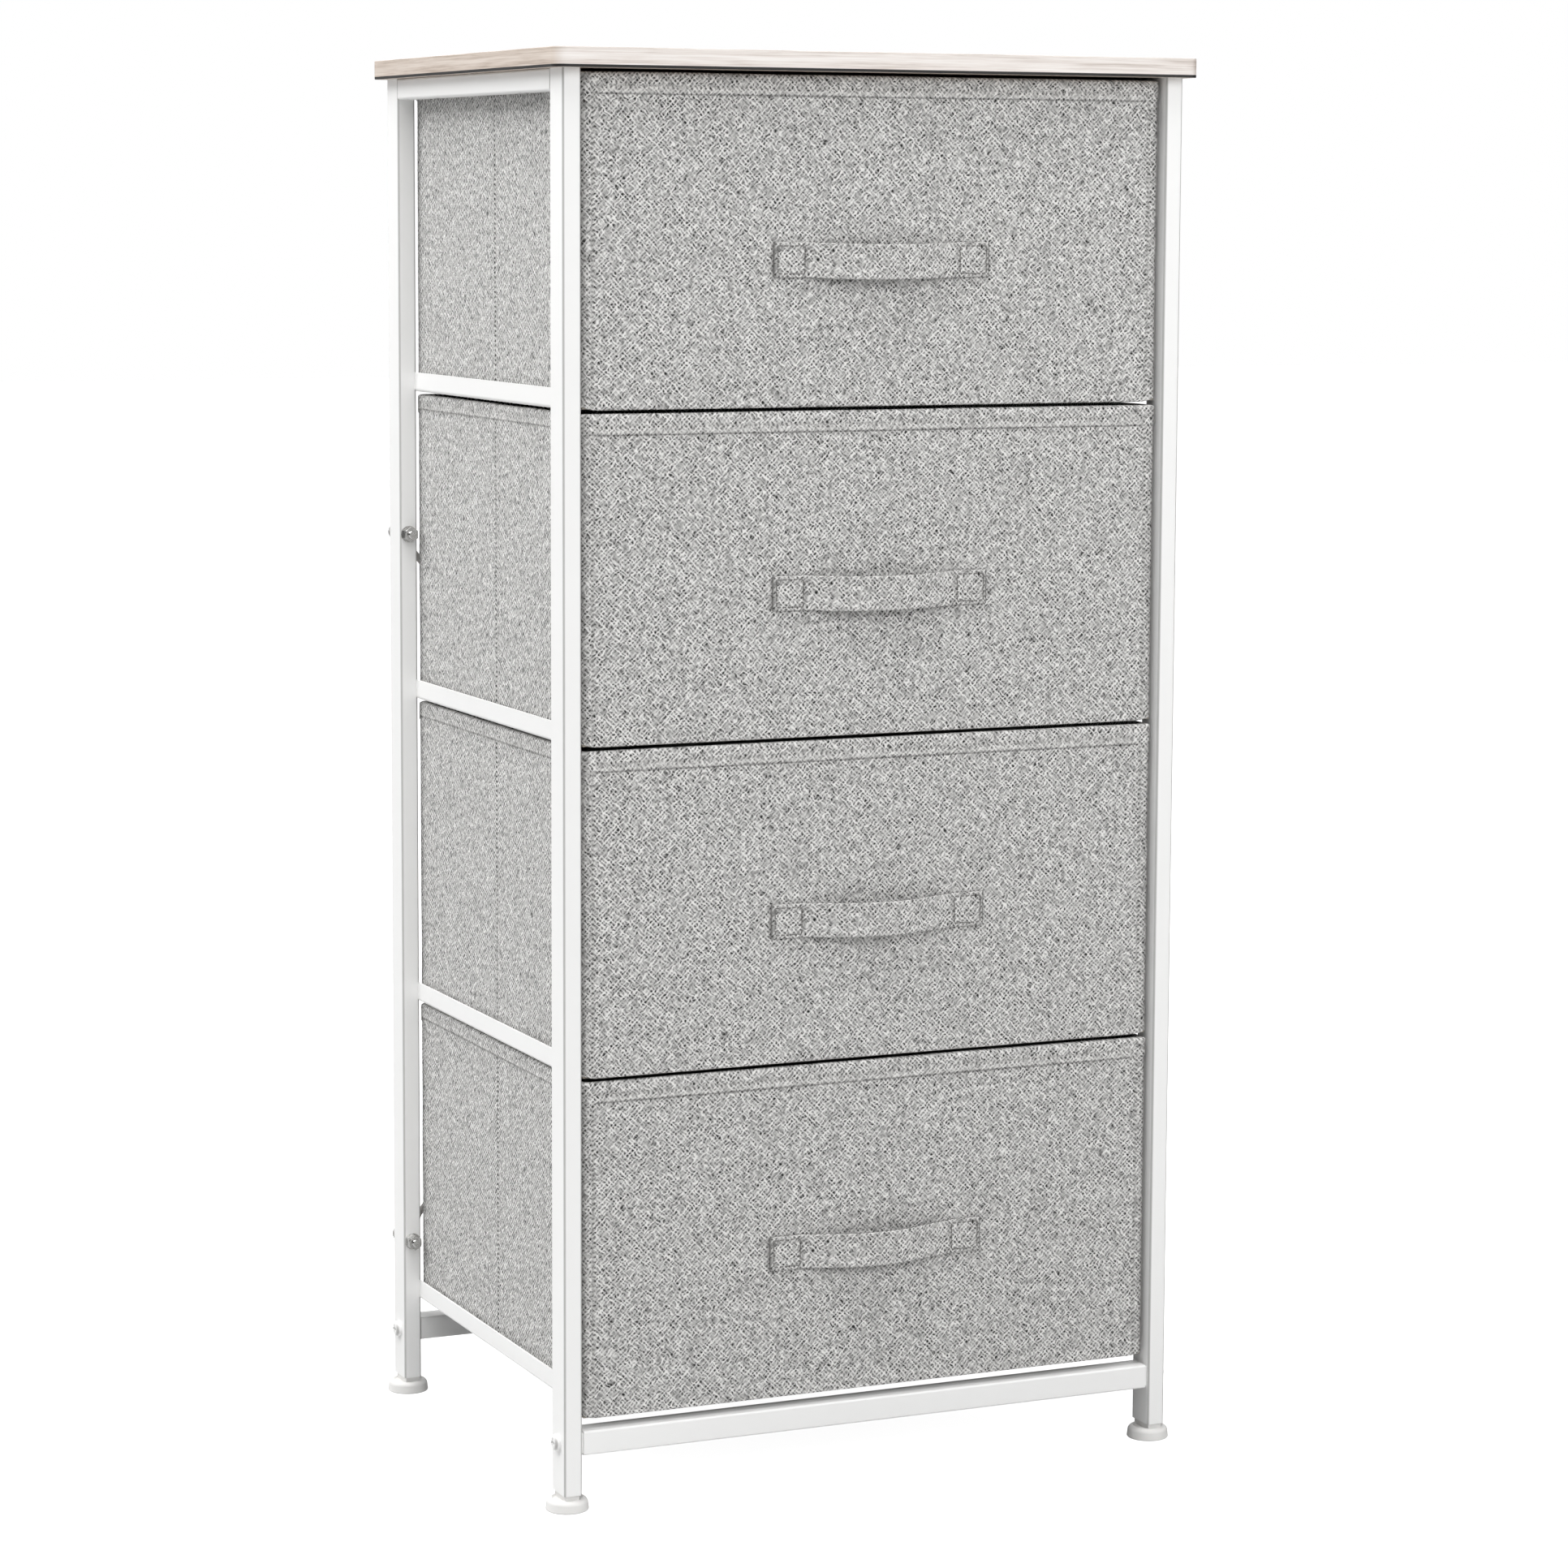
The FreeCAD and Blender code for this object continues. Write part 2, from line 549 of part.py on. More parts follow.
# ---------------------------------------------------------------- drawers
class Drawer:
    """The heights of one drawer, from the angles that carry it."""

    def __init__(self, number):
        ledge = angle_base(number) + ANGLE_SHEET
        self.floor = ledge + DRAWER_REST_GAP
        self.rim = angle_base(number) + drawer_pitch - DRAWER_RIM_GAP
        lowest = number == DRAWER_COUNT
        self.hem = self.floor - (LOWEST_DRAWER_SKIRT if lowest else DRAWER_SKIRT)
        self.handle = self.hem + (LOWEST_HANDLE_RISE if lowest else HANDLE_RISE)
        self.pocket_top = self.rim - 2 * FABRIC

    def pockets(self):
        """The pockets sewn into the walls: name, low corner and high corner of each."""
        bottom = self.floor + FABRIC
        top = self.pocket_top
        wide = drawer_half_width - FABRIC
        found = {
            "front": ((-wide, drawer_front_y + FABRIC, self.hem + FABRIC),
                      (wide, cavity_front_y - FABRIC, top)),
            "back": ((-wide, cavity_back_y + FABRIC, bottom),
                     (wide, drawer_back_y - FABRIC, top)),
        }
        fold = (cavity_front_y + cavity_back_y) / 2
        spans = {
            "fore": (cavity_front_y + POCKET_MARGIN, fold - FOLD_SEAM_WIDTH / 2),
            "aft": (fold + FOLD_SEAM_WIDTH / 2, cavity_back_y - POCKET_MARGIN),
        }
        for side_name, side in SIDES.items():
            inner = side * (cavity_half_width + FABRIC)
            outer = side * wide
            for span_name, span in spans.items():
                low = (min(inner, outer), span[0], bottom)
                high = (max(inner, outer), span[1], top)
                found[side_name + "_" + span_name] = (low, high)
        return found

    def shell(self):
        """The sewn cloth box: open at the top, with a closed pocket for each board."""
        body = block((-drawer_half_width, drawer_front_y, self.floor),
                     (drawer_half_width, drawer_back_y, self.rim))
        apron = block((-drawer_half_width, drawer_front_y, self.hem),
                      (drawer_half_width, cavity_front_y, self.rim))
        body = body.fuse(apron).removeSplitter()
        corners = []
        for edge in body.Edges:
            box = edge.BoundBox
            upright = box.XLength < FABRIC and box.YLength < FABRIC
            if upright and abs(edge.CenterOfMass.y - drawer_front_y) < FABRIC:
                corners.append(edge)
        body = body.makeFillet(SHELL_CORNER_RADIUS, corners)
        inside = block((-cavity_half_width, cavity_front_y, self.floor + FABRIC),
                       (cavity_half_width, cavity_back_y, self.rim + OVERCUT))
        body = body.cut(inside)
        for low, high in self.pockets().values():
            body = body.cut(block(low, high))
        return body

    def board(self, pocket):
        """The stiff board in one pocket. It stands on the pocket's floor."""
        low, high = self.pockets()[pocket]
        low = [a + POCKET_CLEARANCE for a in low]
        high = [b - POCKET_CLEARANCE for b in high]
        return block(low, high)

    def bottom_board(self):
        """The loose board that lies on the drawer's cloth floor."""
        half = cavity_half_width - BOTTOM_BOARD_CLEARANCE
        base = self.floor + FABRIC
        low = (-half, cavity_front_y + BOTTOM_BOARD_CLEARANCE, base)
        high = (half, cavity_back_y - BOTTOM_BOARD_CLEARANCE, base + BOTTOM_BOARD_THICKNESS)
        return block(low, high)

    def strap(self):
        """The strap handle: sewn flat at both ends, bowed out for the fingers between them."""
        base = self.handle - HANDLE_HEIGHT / 2
        half = HANDLE_LENGTH / 2
        bow_half = half - HANDLE_PATCH

        def at(x, out):
            return FreeCAD.Vector(HANDLE_SIDE_OFFSET + x, drawer_front_y - out, base)

        thick = HANDLE_THICKNESS
        outer_bow = Part.Arc(at(-bow_half, thick), at(0, HANDLE_BOW + thick), at(bow_half, thick))
        inner_bow = Part.Arc(at(bow_half, 0), at(0, HANDLE_BOW), at(-bow_half, 0))
        edges = [
            Part.makeLine(at(-half, 0), at(-half, thick)),
            Part.makeLine(at(-half, thick), at(-bow_half, thick)),
            outer_bow.toShape(),
            Part.makeLine(at(bow_half, thick), at(half, thick)),
            Part.makeLine(at(half, thick), at(half, 0)),
            Part.makeLine(at(half, 0), at(bow_half, 0)),
            inner_bow.toShape(),
            Part.makeLine(at(-bow_half, 0), at(-half, 0)),
        ]
        return Part.Face(Part.Wire(edges)).extrude(Z_AXIS * HANDLE_HEIGHT)


# ---------------------------------------------------------------- every piece to its file
os.makedirs("parts", exist_ok=True)

inserts = []
screws = []
for side_name, side in SIDES.items():
    for end_name, end in ENDS.items():
        corner_name = side_name + "_" + end_name
        save(corner_name + "_post", post(side, end))
        save(corner_name + "_foot", foot(side, end))
        inserts.append(cross_rail_insert(side, end))
        screws.append(cross_rail_screw(side, end))
    save(side_name + "_top_rail", top_rail(side))
    for number in range(1, DRAWER_COUNT):
        save(side_name + "_runner_" + str(number), drawer_angle(side, number))
    save(side_name + "_bottom_rail", drawer_angle(side, DRAWER_COUNT))
save("cross_rail_inserts", Part.makeCompound(inserts))
save("cross_rail_screws", Part.makeCompound(screws))
for end_name, end in ENDS.items():
    save(end_name + "_cross_rail", cross_rail(end))

rod_shift = ROD_RADIUS + ROD_CROSSING_GAP / 2
save("outer_brace_rod", brace_rod(LEFT, rod_shift))
save("inner_brace_rod", brace_rod(RIGHT, -rod_shift))
bolt_places = [(s, z) for s in (LEFT, RIGHT) for z in (brace_top_z, brace_bottom_z)]
save("brace_bolts", Part.makeCompound([brace_bolt(s, z) for s, z in bolt_places]))
save("brace_washers", Part.makeCompound([brace_washer(s, z) for s, z in bolt_places]))
save("brace_nuts", Part.makeCompound([brace_nut(s, z) for s, z in bolt_places]))

save("top_panel", top_panel())
save("edge_banding", edge_banding())
screw_places = top_screw_places(LEFT) + top_screw_places(RIGHT)
save("top_panel_screws", Part.makeCompound([top_panel_screw(x, y) for x, y in screw_places]))

for number in range(1, DRAWER_COUNT + 1):
    drawer = Drawer(number)
    name = "drawer_" + str(number) + "_"
    save(name + "shell", drawer.shell())
    save(name + "front_board", drawer.board("front"))
    save(name + "back_board", drawer.board("back"))
    for side_name in SIDES:
        halves = [drawer.board(side_name + "_fore"), drawer.board(side_name + "_aft")]
        save(name + side_name + "_boards", Part.makeCompound(halves))
    save(name + "bottom_board", drawer.bottom_board())
    save(name + "handle", drawer.strap())
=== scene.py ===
# %% [markdown]
# # Fabric drawer dresser
# This lesson dresses a finished steel frame with everything the eye judges first: paint,
# plastic, a wood-look board and four sewn cloth drawers. All sizes are in metres, because
# Blender's unit is the metre, and a small constant turns millimetres into them.

# %% Load the frame
import bpy
import math
from mathutils import Matrix, Vector, noise


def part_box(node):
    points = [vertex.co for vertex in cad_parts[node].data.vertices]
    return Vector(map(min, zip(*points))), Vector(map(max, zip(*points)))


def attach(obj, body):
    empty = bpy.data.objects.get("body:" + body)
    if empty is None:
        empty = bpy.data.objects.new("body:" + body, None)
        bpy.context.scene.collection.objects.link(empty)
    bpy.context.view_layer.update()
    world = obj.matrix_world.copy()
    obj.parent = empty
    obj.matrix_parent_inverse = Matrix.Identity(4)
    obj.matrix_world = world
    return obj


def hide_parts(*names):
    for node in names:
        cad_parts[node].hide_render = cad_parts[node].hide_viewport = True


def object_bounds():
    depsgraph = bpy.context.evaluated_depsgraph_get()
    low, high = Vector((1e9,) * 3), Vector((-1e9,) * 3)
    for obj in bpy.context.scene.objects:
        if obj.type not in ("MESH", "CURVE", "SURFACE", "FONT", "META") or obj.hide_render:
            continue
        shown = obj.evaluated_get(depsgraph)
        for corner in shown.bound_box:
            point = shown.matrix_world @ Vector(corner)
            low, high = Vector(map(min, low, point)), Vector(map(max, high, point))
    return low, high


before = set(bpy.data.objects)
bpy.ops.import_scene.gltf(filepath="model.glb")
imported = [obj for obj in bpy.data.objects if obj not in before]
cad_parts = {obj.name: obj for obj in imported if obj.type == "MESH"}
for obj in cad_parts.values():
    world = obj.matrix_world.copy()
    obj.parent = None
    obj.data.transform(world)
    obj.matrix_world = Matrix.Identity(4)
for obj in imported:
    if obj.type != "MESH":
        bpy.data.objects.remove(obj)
cad_box = [list(corner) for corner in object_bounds()]
MM = 0.001

# %% [markdown]
# ## Colours
# Paint makers and web pages give colours as sRGB, which is curved to suit the eye. A renderer
# adds up light, so it needs the straight, linear value. One function does that for every
# material, and the hex value stays readable in the code.

# %% One way to write a colour


def linear(hex_colour):
    """Turns #rrggbb in sRGB into linear red, green, blue and full alpha."""
    shares = [int(hex_colour[i:i + 2], 16) / 255 for i in (1, 3, 5)]
    straight = [s / 12.92 if s <= 0.04045 else ((s + 0.055) / 1.055) ** 2.4 for s in shares]
    return (*straight, 1.0)


print("mid grey is", round(linear("#808080")[0], 3), "in linear light")

# %% [markdown]
# ## Nodes
# Each material below is a small tree of nodes. A single helper adds a node, sets its menu
# choices and its sockets, and links it where another node's output is given as the value.

# %% Add a node


def add_node(tree, kind, sockets=None, **choices):
    """Adds a shader node. A socket's value is a constant, or another node's output to link."""
    node = tree.nodes.new("ShaderNode" + kind)
    for name, choice in choices.items():
        setattr(node, name, choice)
    for name, value in (sockets or {}).items():
        if isinstance(value, bpy.types.NodeSocket):
            tree.links.new(value, node.inputs[name])
        else:
            node.inputs[name].default_value = value
    return node


def new_material(name):
    """An empty material, with its tree and its output ready for a shader."""
    material = bpy.data.materials.new(name)
    material.use_nodes = True
    tree = material.node_tree
    tree.nodes.clear()
    return material, tree


def finish_material(tree, shader):
    """Sends a shader to the surface."""
    add_node(tree, "OutputMaterial", {"Surface": shader.outputs["BSDF"]})


# %% [markdown]
# ## Camera
# The view is a long lens from a little below the board's height, turned to show the front
# and the left side. The lens tilts down a few degrees, and a small vertical shift puts the
# dresser back in the middle of the picture.

# %% Place the camera
CAMERA_PLACE = Vector((-1062.7, -2390.5, 738.6)) * MM
CAMERA_YAW = math.radians(24.1)
CAMERA_PITCH = math.radians(6.58)
CAMERA_ROLL = math.radians(-0.25)
LENS_LENGTH = 100.3
SENSOR_WIDTH = 36.0
LENS_SHIFT = -0.05

forward = Vector((
    math.sin(CAMERA_YAW) * math.cos(CAMERA_PITCH),
    math.cos(CAMERA_YAW) * math.cos(CAMERA_PITCH),
    -math.sin(CAMERA_PITCH)))
level_right = Vector((math.cos(CAMERA_YAW), -math.sin(CAMERA_YAW), 0))
level_down = forward.cross(level_right)
camera_right = level_right * math.cos(CAMERA_ROLL) + level_down * math.sin(CAMERA_ROLL)
camera_up = -(level_down * math.cos(CAMERA_ROLL) - level_right * math.sin(CAMERA_ROLL))

lens = bpy.data.cameras.new("camera")
lens.lens = LENS_LENGTH
lens.sensor_width = SENSOR_WIDTH
lens.shift_y = LENS_SHIFT
camera = bpy.data.objects.new("camera", lens)
turn = Matrix((camera_right, camera_up, -forward)).transposed()
camera.matrix_world = Matrix.Translation(CAMERA_PLACE) @ turn.to_4x4()
bpy.context.scene.collection.objects.link(camera)
bpy.context.scene.camera = camera
front_middle = Vector((0, cad_box[0][1], cad_box[1][2] / 2))
print("camera to front:", round((CAMERA_PLACE - front_middle).length, 2), "m")

# %% [markdown]
# ## Light and floor
# A white product stands before a white backdrop that has lamps of its own, in a dark room, so
# that edges and gaps keep their shade. Four large soft lamps do the rest. The one on the left
# is high and a little behind, so the drawers' sides darken under the top rail. The one on the
# right is low, which keeps the fronts even from top to bottom. The one in front and the one
# overhead throw the soft shadow under each handle. The floor is pale paper. Its picture
# is lifted to white with a little glow that only the camera sees, because real glow would
# light the frame from below. The view transform is Standard, so that white paint stays white.

# %% Light the studio
ROOM_LIGHT = 0.02
BACKDROP_LIGHT = 0.88
BACKDROP_START = 0.1
BACKDROP_FULL = 0.8
LAMP_SIZE = 2.4
LAMP_TARGET = Vector((0, 0, 0.4))
LAMPS = {
    "left": (97.0, Vector((-2.5, 0.8, 3.1))),
    "overhead": (88.0, Vector((-0.8, -0.9, 4.0))),
    "front": (43.0, Vector((-1.0, -3.1, 2.5))),
    "right": (58.0, Vector((2.2, -3.0, 1.7))),
}
FLOOR_SIZE = 30.0
FLOOR_GLOW = 0.95

scene = bpy.context.scene
scene.view_settings.view_transform = "Standard"
world = bpy.data.worlds.new("studio")
world.use_nodes = True
tree = world.node_tree
tree.nodes.clear()
place = add_node(tree, "TexCoord")
axes = add_node(tree, "SeparateXYZ", {0: place.outputs["Generated"]})
share = add_node(tree, "MapRange", {
    "Value": axes.outputs["Y"], "From Min": BACKDROP_START, "From Max": BACKDROP_FULL,
    "To Min": ROOM_LIGHT, "To Max": BACKDROP_LIGHT}, interpolation_type="SMOOTHSTEP")
room_light = add_node(tree, "Background", {
    "Color": linear("#ffffff"), "Strength": share.outputs["Result"]})
backdrop_seen = add_node(tree, "Background", {"Color": linear("#ffffff"), "Strength": 1.0})
ray = add_node(tree, "LightPath")
both = add_node(tree, "MixShader", {
    0: ray.outputs["Is Camera Ray"], 1: room_light.outputs[0], 2: backdrop_seen.outputs[0]})
add_node(tree, "OutputWorld", {"Surface": both.outputs[0]})
scene.world = world


def soft_lamp(name, power, place):
    """A large round lamp that points at the middle of the dresser."""
    light = bpy.data.lights.new(name, "AREA")
    light.shape = "DISK"
    light.size = LAMP_SIZE
    light.energy = power
    lamp = bpy.data.objects.new(name, light)
    lamp.location = place
    lamp.rotation_mode = "QUATERNION"
    lamp.rotation_quaternion = (LAMP_TARGET - place).to_track_quat("-Z", "Y")
    scene.collection.objects.link(lamp)


for name, (power, place) in LAMPS.items():
    soft_lamp(name, power, place)
    print(name, "lamp:", power, "W,", round((place - LAMP_TARGET).length, 2), "m away")

# %% Lay the floor
floor_mesh = bpy.data.meshes.new("floor")
half = FLOOR_SIZE / 2
corners = [(-half, -half, 0), (half, -half, 0), (half, half, 0), (-half, half, 0)]
floor_mesh.from_pydata(corners, [], [(0, 1, 2, 3)])
floor = bpy.data.objects.new("floor", floor_mesh)
scene.collection.objects.link(floor)
floor_paint, tree = new_material("matt_white_backdrop_paper")
paper = add_node(tree, "BsdfPrincipled", {
    "Base Color": linear("#c4c4c4"), "Roughness": 0.9, "Specular IOR Level": 0.1})
glow = add_node(tree, "Emission", {"Color": linear("#ffffff"), "Strength": FLOOR_GLOW})
lifted = add_node(tree, "AddShader", {0: paper.outputs[0], 1: glow.outputs[0]})
ray = add_node(tree, "LightPath")
both = add_node(tree, "MixShader", {
    0: ray.outputs["Is Camera Ray"], 1: paper.outputs[0], 2: lifted.outputs[0]})
add_node(tree, "OutputMaterial", {"Surface": both.outputs[0]})
floor_mesh.materials.append(floor_paint)
print("floor:", FLOOR_SIZE, "m square")

# %% [markdown]
# ## Powder-coated steel
# The frame is steel tube, sprayed with a dry polyester powder and baked. The powder melts
# into a smooth white skin with a faint orange-peel ripple, about as glossy as an eggshell.
# That gives the eye soft broad highlights along the tubes' rounded corners. A noise of about
# 1.5 mm drives a weak bump for the ripple, and a slower one varies the gloss a little.
# The upright corners are painted greyer: painted shade for the dark line along each tube's
# edge. A corner is where the surface faces two ways at once: X times Y of its direction is
# largest there.

# %% Powder coat
PEEL_WIDTH = 1.5 * MM
PEEL_HEIGHT = 0.05 * MM
GLOSS_PATCH = 40 * MM
GLOSS_DRIFT = 0.05
CORNER_SHADE_START = 0.15
CORNER_SHADE_FULL = 0.45


def powder_coat(name, colour, corner_shade_colour, roughness):
    """Baked powder paint on steel, with painted shade on its upright corners."""
    material, tree = new_material(name)
    place = add_node(tree, "TexCoord")
    peel = add_node(tree, "TexNoise", {
        "Vector": place.outputs["Object"], "Scale": 1 / PEEL_WIDTH, "Detail": 2.0, "Roughness": 0.4})
    patches = add_node(tree, "TexNoise", {
        "Vector": place.outputs["Object"], "Scale": 1 / GLOSS_PATCH, "Detail": 2.0})
    gloss = add_node(tree, "MapRange", {
        "Value": patches.outputs["Fac"],
        "To Min": roughness - GLOSS_DRIFT, "To Max": roughness + GLOSS_DRIFT})
    ripple = add_node(tree, "Bump", {
        "Height": peel.outputs["Fac"], "Strength": 0.25, "Distance": PEEL_HEIGHT})
    # Painted shade: the colour turns grey where the surface faces two ways, on upright corners.
    facing = add_node(tree, "SeparateXYZ", {0: place.outputs["Normal"]})
    both_ways = add_node(tree, "Math", {
        0: facing.outputs["X"], 1: facing.outputs["Y"]}, operation="MULTIPLY")
    slanted = add_node(tree, "Math", {0: both_ways.outputs[0]}, operation="ABSOLUTE")
    corner = add_node(tree, "MapRange", {
        "Value": slanted.outputs[0], "From Min": CORNER_SHADE_START, "From Max": CORNER_SHADE_FULL})
    tone = add_node(tree, "MixRGB", {
        "Fac": corner.outputs["Result"], "Color1": linear(colour), "Color2": linear(corner_shade_colour)})
    shader = add_node(tree, "BsdfPrincipled", {
        "Base Color": tone.outputs["Color"], "Roughness": gloss.outputs["Result"],
        "Normal": ripple.outputs["Normal"], "IOR": 1.5})
    finish_material(tree, shader)
    return material


white_coat = powder_coat("powder_coated_steel", "#f7f7f6", "#bdbcbb", 0.38)
rod_coat = powder_coat("powder_coated_steel_rod", "#a8a5a3", "#a8a5a3", 0.42)
print("orange peel every", PEEL_WIDTH / MM, "mm")

# %% [markdown]
# ## Zinc-plated steel
# Screws, bolts and nuts are steel with a bright zinc skin. It is a true metal, so the
# metallic value is 1 and the IOR stays at its default. Plating is grainy at a fraction of a
# millimetre, which blurs its reflections.

# %% Zinc plating
PLATING_GRAIN = 0.6 * MM

zinc, tree = new_material("zinc_plated_steel")
place = add_node(tree, "TexCoord")
grain = add_node(tree, "TexNoise", {
    "Vector": place.outputs["Object"], "Scale": 1 / PLATING_GRAIN, "Detail": 3.0})
blur = add_node(tree, "MapRange", {"Value": grain.outputs["Fac"], "To Min": 0.1, "To Max": 0.26})
tone = add_node(tree, "ValToRGB", {"Fac": grain.outputs["Fac"]})
tone.color_ramp.elements[0].color = linear("#a9aaaa")
tone.color_ramp.elements[1].color = linear("#e6e5e2")
shader = add_node(tree, "BsdfPrincipled", {
    "Base Color": tone.outputs["Color"], "Metallic": 1.0, "Roughness": blur.outputs["Result"]})
finish_material(tree, shader)
print("zinc grain:", PLATING_GRAIN / MM, "mm")

# %% [markdown]
# ## Moulded plastics
# The feet are injection-moulded polyethylene, slightly waxy and a touch darker than the
# paint. The inserts in the cross rails are dark nylon. Moulding leaves a fine spark-eroded
# texture, and a little subsurface light softens the edges.

# %% Moulded plastic
SPARK_GRAIN = 0.5 * MM
SPARK_HEIGHT = 0.05 * MM
CLOUDS_PER_METRE = 60.0
LIGHT_DEPTH = 2 * MM


def moulded_plastic(name, colour, lighter, roughness):
    """Injection-moulded plastic with a fine mould texture."""
    material, tree = new_material(name)
    place = add_node(tree, "TexCoord")
    spark = add_node(tree, "TexNoise", {
        "Vector": place.outputs["Object"], "Scale": 1 / SPARK_GRAIN, "Detail": 3.0})
    clouds = add_node(tree, "TexNoise", {"Vector": place.outputs["Object"], "Scale": CLOUDS_PER_METRE})
    tone = add_node(tree, "MixRGB", {
        "Fac": clouds.outputs["Fac"], "Color1": linear(colour), "Color2": linear(lighter)})
    skin = add_node(tree, "Bump", {
        "Height": spark.outputs["Fac"], "Strength": 0.15, "Distance": SPARK_HEIGHT})
    shader = add_node(tree, "BsdfPrincipled", {
        "Base Color": tone.outputs["Color"], "Roughness": roughness, "IOR": 1.49,
        "Subsurface Weight": 0.15, "Subsurface Radius": (LIGHT_DEPTH,) * 3,
        "Normal": skin.outputs["Normal"]})
    finish_material(tree, shader)
    return material


foot_plastic = moulded_plastic("moulded_polyethylene", "#e4e3e1", "#ebeae8", 0.45)
insert_plastic = moulded_plastic("moulded_nylon", "#303030", "#3c3c3c", 0.5)
print("mould texture:", SPARK_GRAIN / MM, "mm")

# %% [markdown]
# ## Wood-look board
# The top is particleboard under a printed melamine paper: a pale, washed oak. Its grain is
# drawn with noise that is stretched along the board, some 35 times longer than it is wide, so the
# streaks are about 1 mm wide and a few centimetres long. The band round the edge carries the
# same print, with the grain along the edge, and is paler on the two long sides. Its lowest
# 1.6 mm turns near black: a painted shadow for the dark gap under the board's edge.

# %% Washed oak melamine
GRAIN_WIDTH = 1.1 * MM
GRAIN_LENGTH = 40 * MM
GROWTH_RINGS = (0.35, 0.22, 1.0)
PRINT_DARK = 0.75
PRINT_PALE = 1.25
PALE_WOOD_FROM = 0.45
PORE_DEPTH = 0.05 * MM
UNDER_EDGE_SHADOW = 1.6 * MM
UNDER_EDGE_SHADOW_SOLID = 0.9 * UNDER_EDGE_SHADOW
LONG_SIDE = ("#cbc0b8", "#e6ded8", "#f4efeb")
SHORT_SIDE = ("#a8988a", "#c6b8ac", "#d8cdc3")


def grain_tone(tree, share, tones):
    """Three tones of the print, from its dark pores to its pale wood."""
    tone = add_node(tree, "ValToRGB", {"Fac": share})
    tone.color_ramp.elements[0].color = linear(tones[0])
    tone.color_ramp.elements[1].color = linear(tones[2])
    tone.color_ramp.elements.new(PALE_WOOD_FROM).color = linear(tones[1])
    return tone.outputs["Color"]


def melamine(name, along_edge):
    """Printed washed oak. The grain runs along X, or along the board's edge all round."""
    material, tree = new_material(name)
    place = add_node(tree, "TexCoord")
    axes = add_node(tree, "SeparateXYZ", {0: place.outputs["Object"]})
    along = axes.outputs["X"]
    across = axes.outputs["Y"]
    if along_edge:
        along = add_node(tree, "Math", {
            0: axes.outputs["X"], 1: axes.outputs["Y"]}, operation="ADD").outputs[0]
        across = axes.outputs["Z"]
    long_way = add_node(tree, "Math", {0: along, 1: 1 / GRAIN_LENGTH}, operation="MULTIPLY")
    short_way = add_node(tree, "Math", {0: across, 1: 1 / GRAIN_WIDTH}, operation="MULTIPLY")
    laid = add_node(tree, "CombineXYZ", {"X": long_way.outputs[0], "Y": short_way.outputs[0]})
    streaks = add_node(tree, "TexNoise", {
        "Vector": laid.outputs[0], "Scale": 1.0, "Detail": 4.0, "Roughness": 0.6, "Distortion": 0.3})
    wider = add_node(tree, "VectorMath", {0: laid.outputs[0], 1: GROWTH_RINGS}, operation="MULTIPLY")
    rings = add_node(tree, "TexNoise", {"Vector": wider.outputs[0], "Scale": 1.0, "Detail": 2.0})
    both = add_node(tree, "Math", {
        0: streaks.outputs["Fac"], 1: rings.outputs["Fac"]}, operation="ADD")
    share = add_node(tree, "MapRange", {
        "Value": both.outputs[0], "From Min": PRINT_DARK, "From Max": PRINT_PALE})
    colour = grain_tone(tree, share.outputs["Result"], LONG_SIDE if along_edge else SHORT_SIDE)
    if along_edge:
        short_side = grain_tone(tree, share.outputs["Result"], SHORT_SIDE)
        faces = add_node(tree, "SeparateXYZ", {0: place.outputs["Normal"]})
        sideways = add_node(tree, "Math", {
            0: faces.outputs["X"], 1: faces.outputs["X"]}, operation="MULTIPLY")
        colour = add_node(tree, "MixRGB", {
            "Fac": sideways.outputs[0], "Color1": colour, "Color2": short_side}).outputs["Color"]
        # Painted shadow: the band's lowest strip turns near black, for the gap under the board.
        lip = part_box("edge_banding")[0].z
        under_edge_shadow = add_node(tree, "MapRange", {
            "Value": axes.outputs["Z"], "From Min": lip + UNDER_EDGE_SHADOW, "From Max": lip + UNDER_EDGE_SHADOW_SOLID})
        colour = add_node(tree, "MixRGB", {
            "Fac": under_edge_shadow.outputs["Result"], "Color1": colour,
            "Color2": linear("#0e0c0a")}).outputs["Color"]
    pores = add_node(tree, "Bump", {
        "Height": streaks.outputs["Fac"], "Strength": 0.3, "Distance": PORE_DEPTH})
    shader = add_node(tree, "BsdfPrincipled", {
        "Base Color": colour, "Roughness": 0.5, "IOR": 1.5, "Normal": pores.outputs["Normal"]})
    finish_material(tree, shader)
    return material


board_face = melamine("melamine_washed_oak", False)
board_edge = melamine("melamine_washed_oak_edge_band", True)
print("grain:", GRAIN_WIDTH / MM, "x", GRAIN_LENGTH / MM, "mm")

# %% [markdown]
# ## Linen-look polyester
# The drawers are sewn from a heathered polyester weave that imitates linen. Its yarns run at
# 45 degrees, about 2 mm apart, and each yarn changes from near white to charcoal every few
# millimetres, which gives the flecked look. The UV map holds real metres along the cloth, so
# one yarn is the same width everywhere. Two sets of stretched noise are the two yarn
# directions, and the lighter one lies on top at each place, as in a weave. A slow push of a
# few tenths of a millimetre keeps the yarns from running ruler-straight. The real yarns are
# nearer 1 mm apart, too fine to show when the whole dresser fills the picture, so the pattern
# is drawn about twice as coarse.

# %% Yarns
YARN_PITCH = 2.0 * MM
FLECK_LENGTH = 4.5 * MM
FLECK_WIDTH = 1.15 * MM
YARN_WANDER = 2.4 * MM
WANDER_SIZE = 3.0 * MM
YARN_TURN = 45
SECOND_YARN_SEED = 50.0
CREST = 0.14
CLOTH_MAP = "cloth"


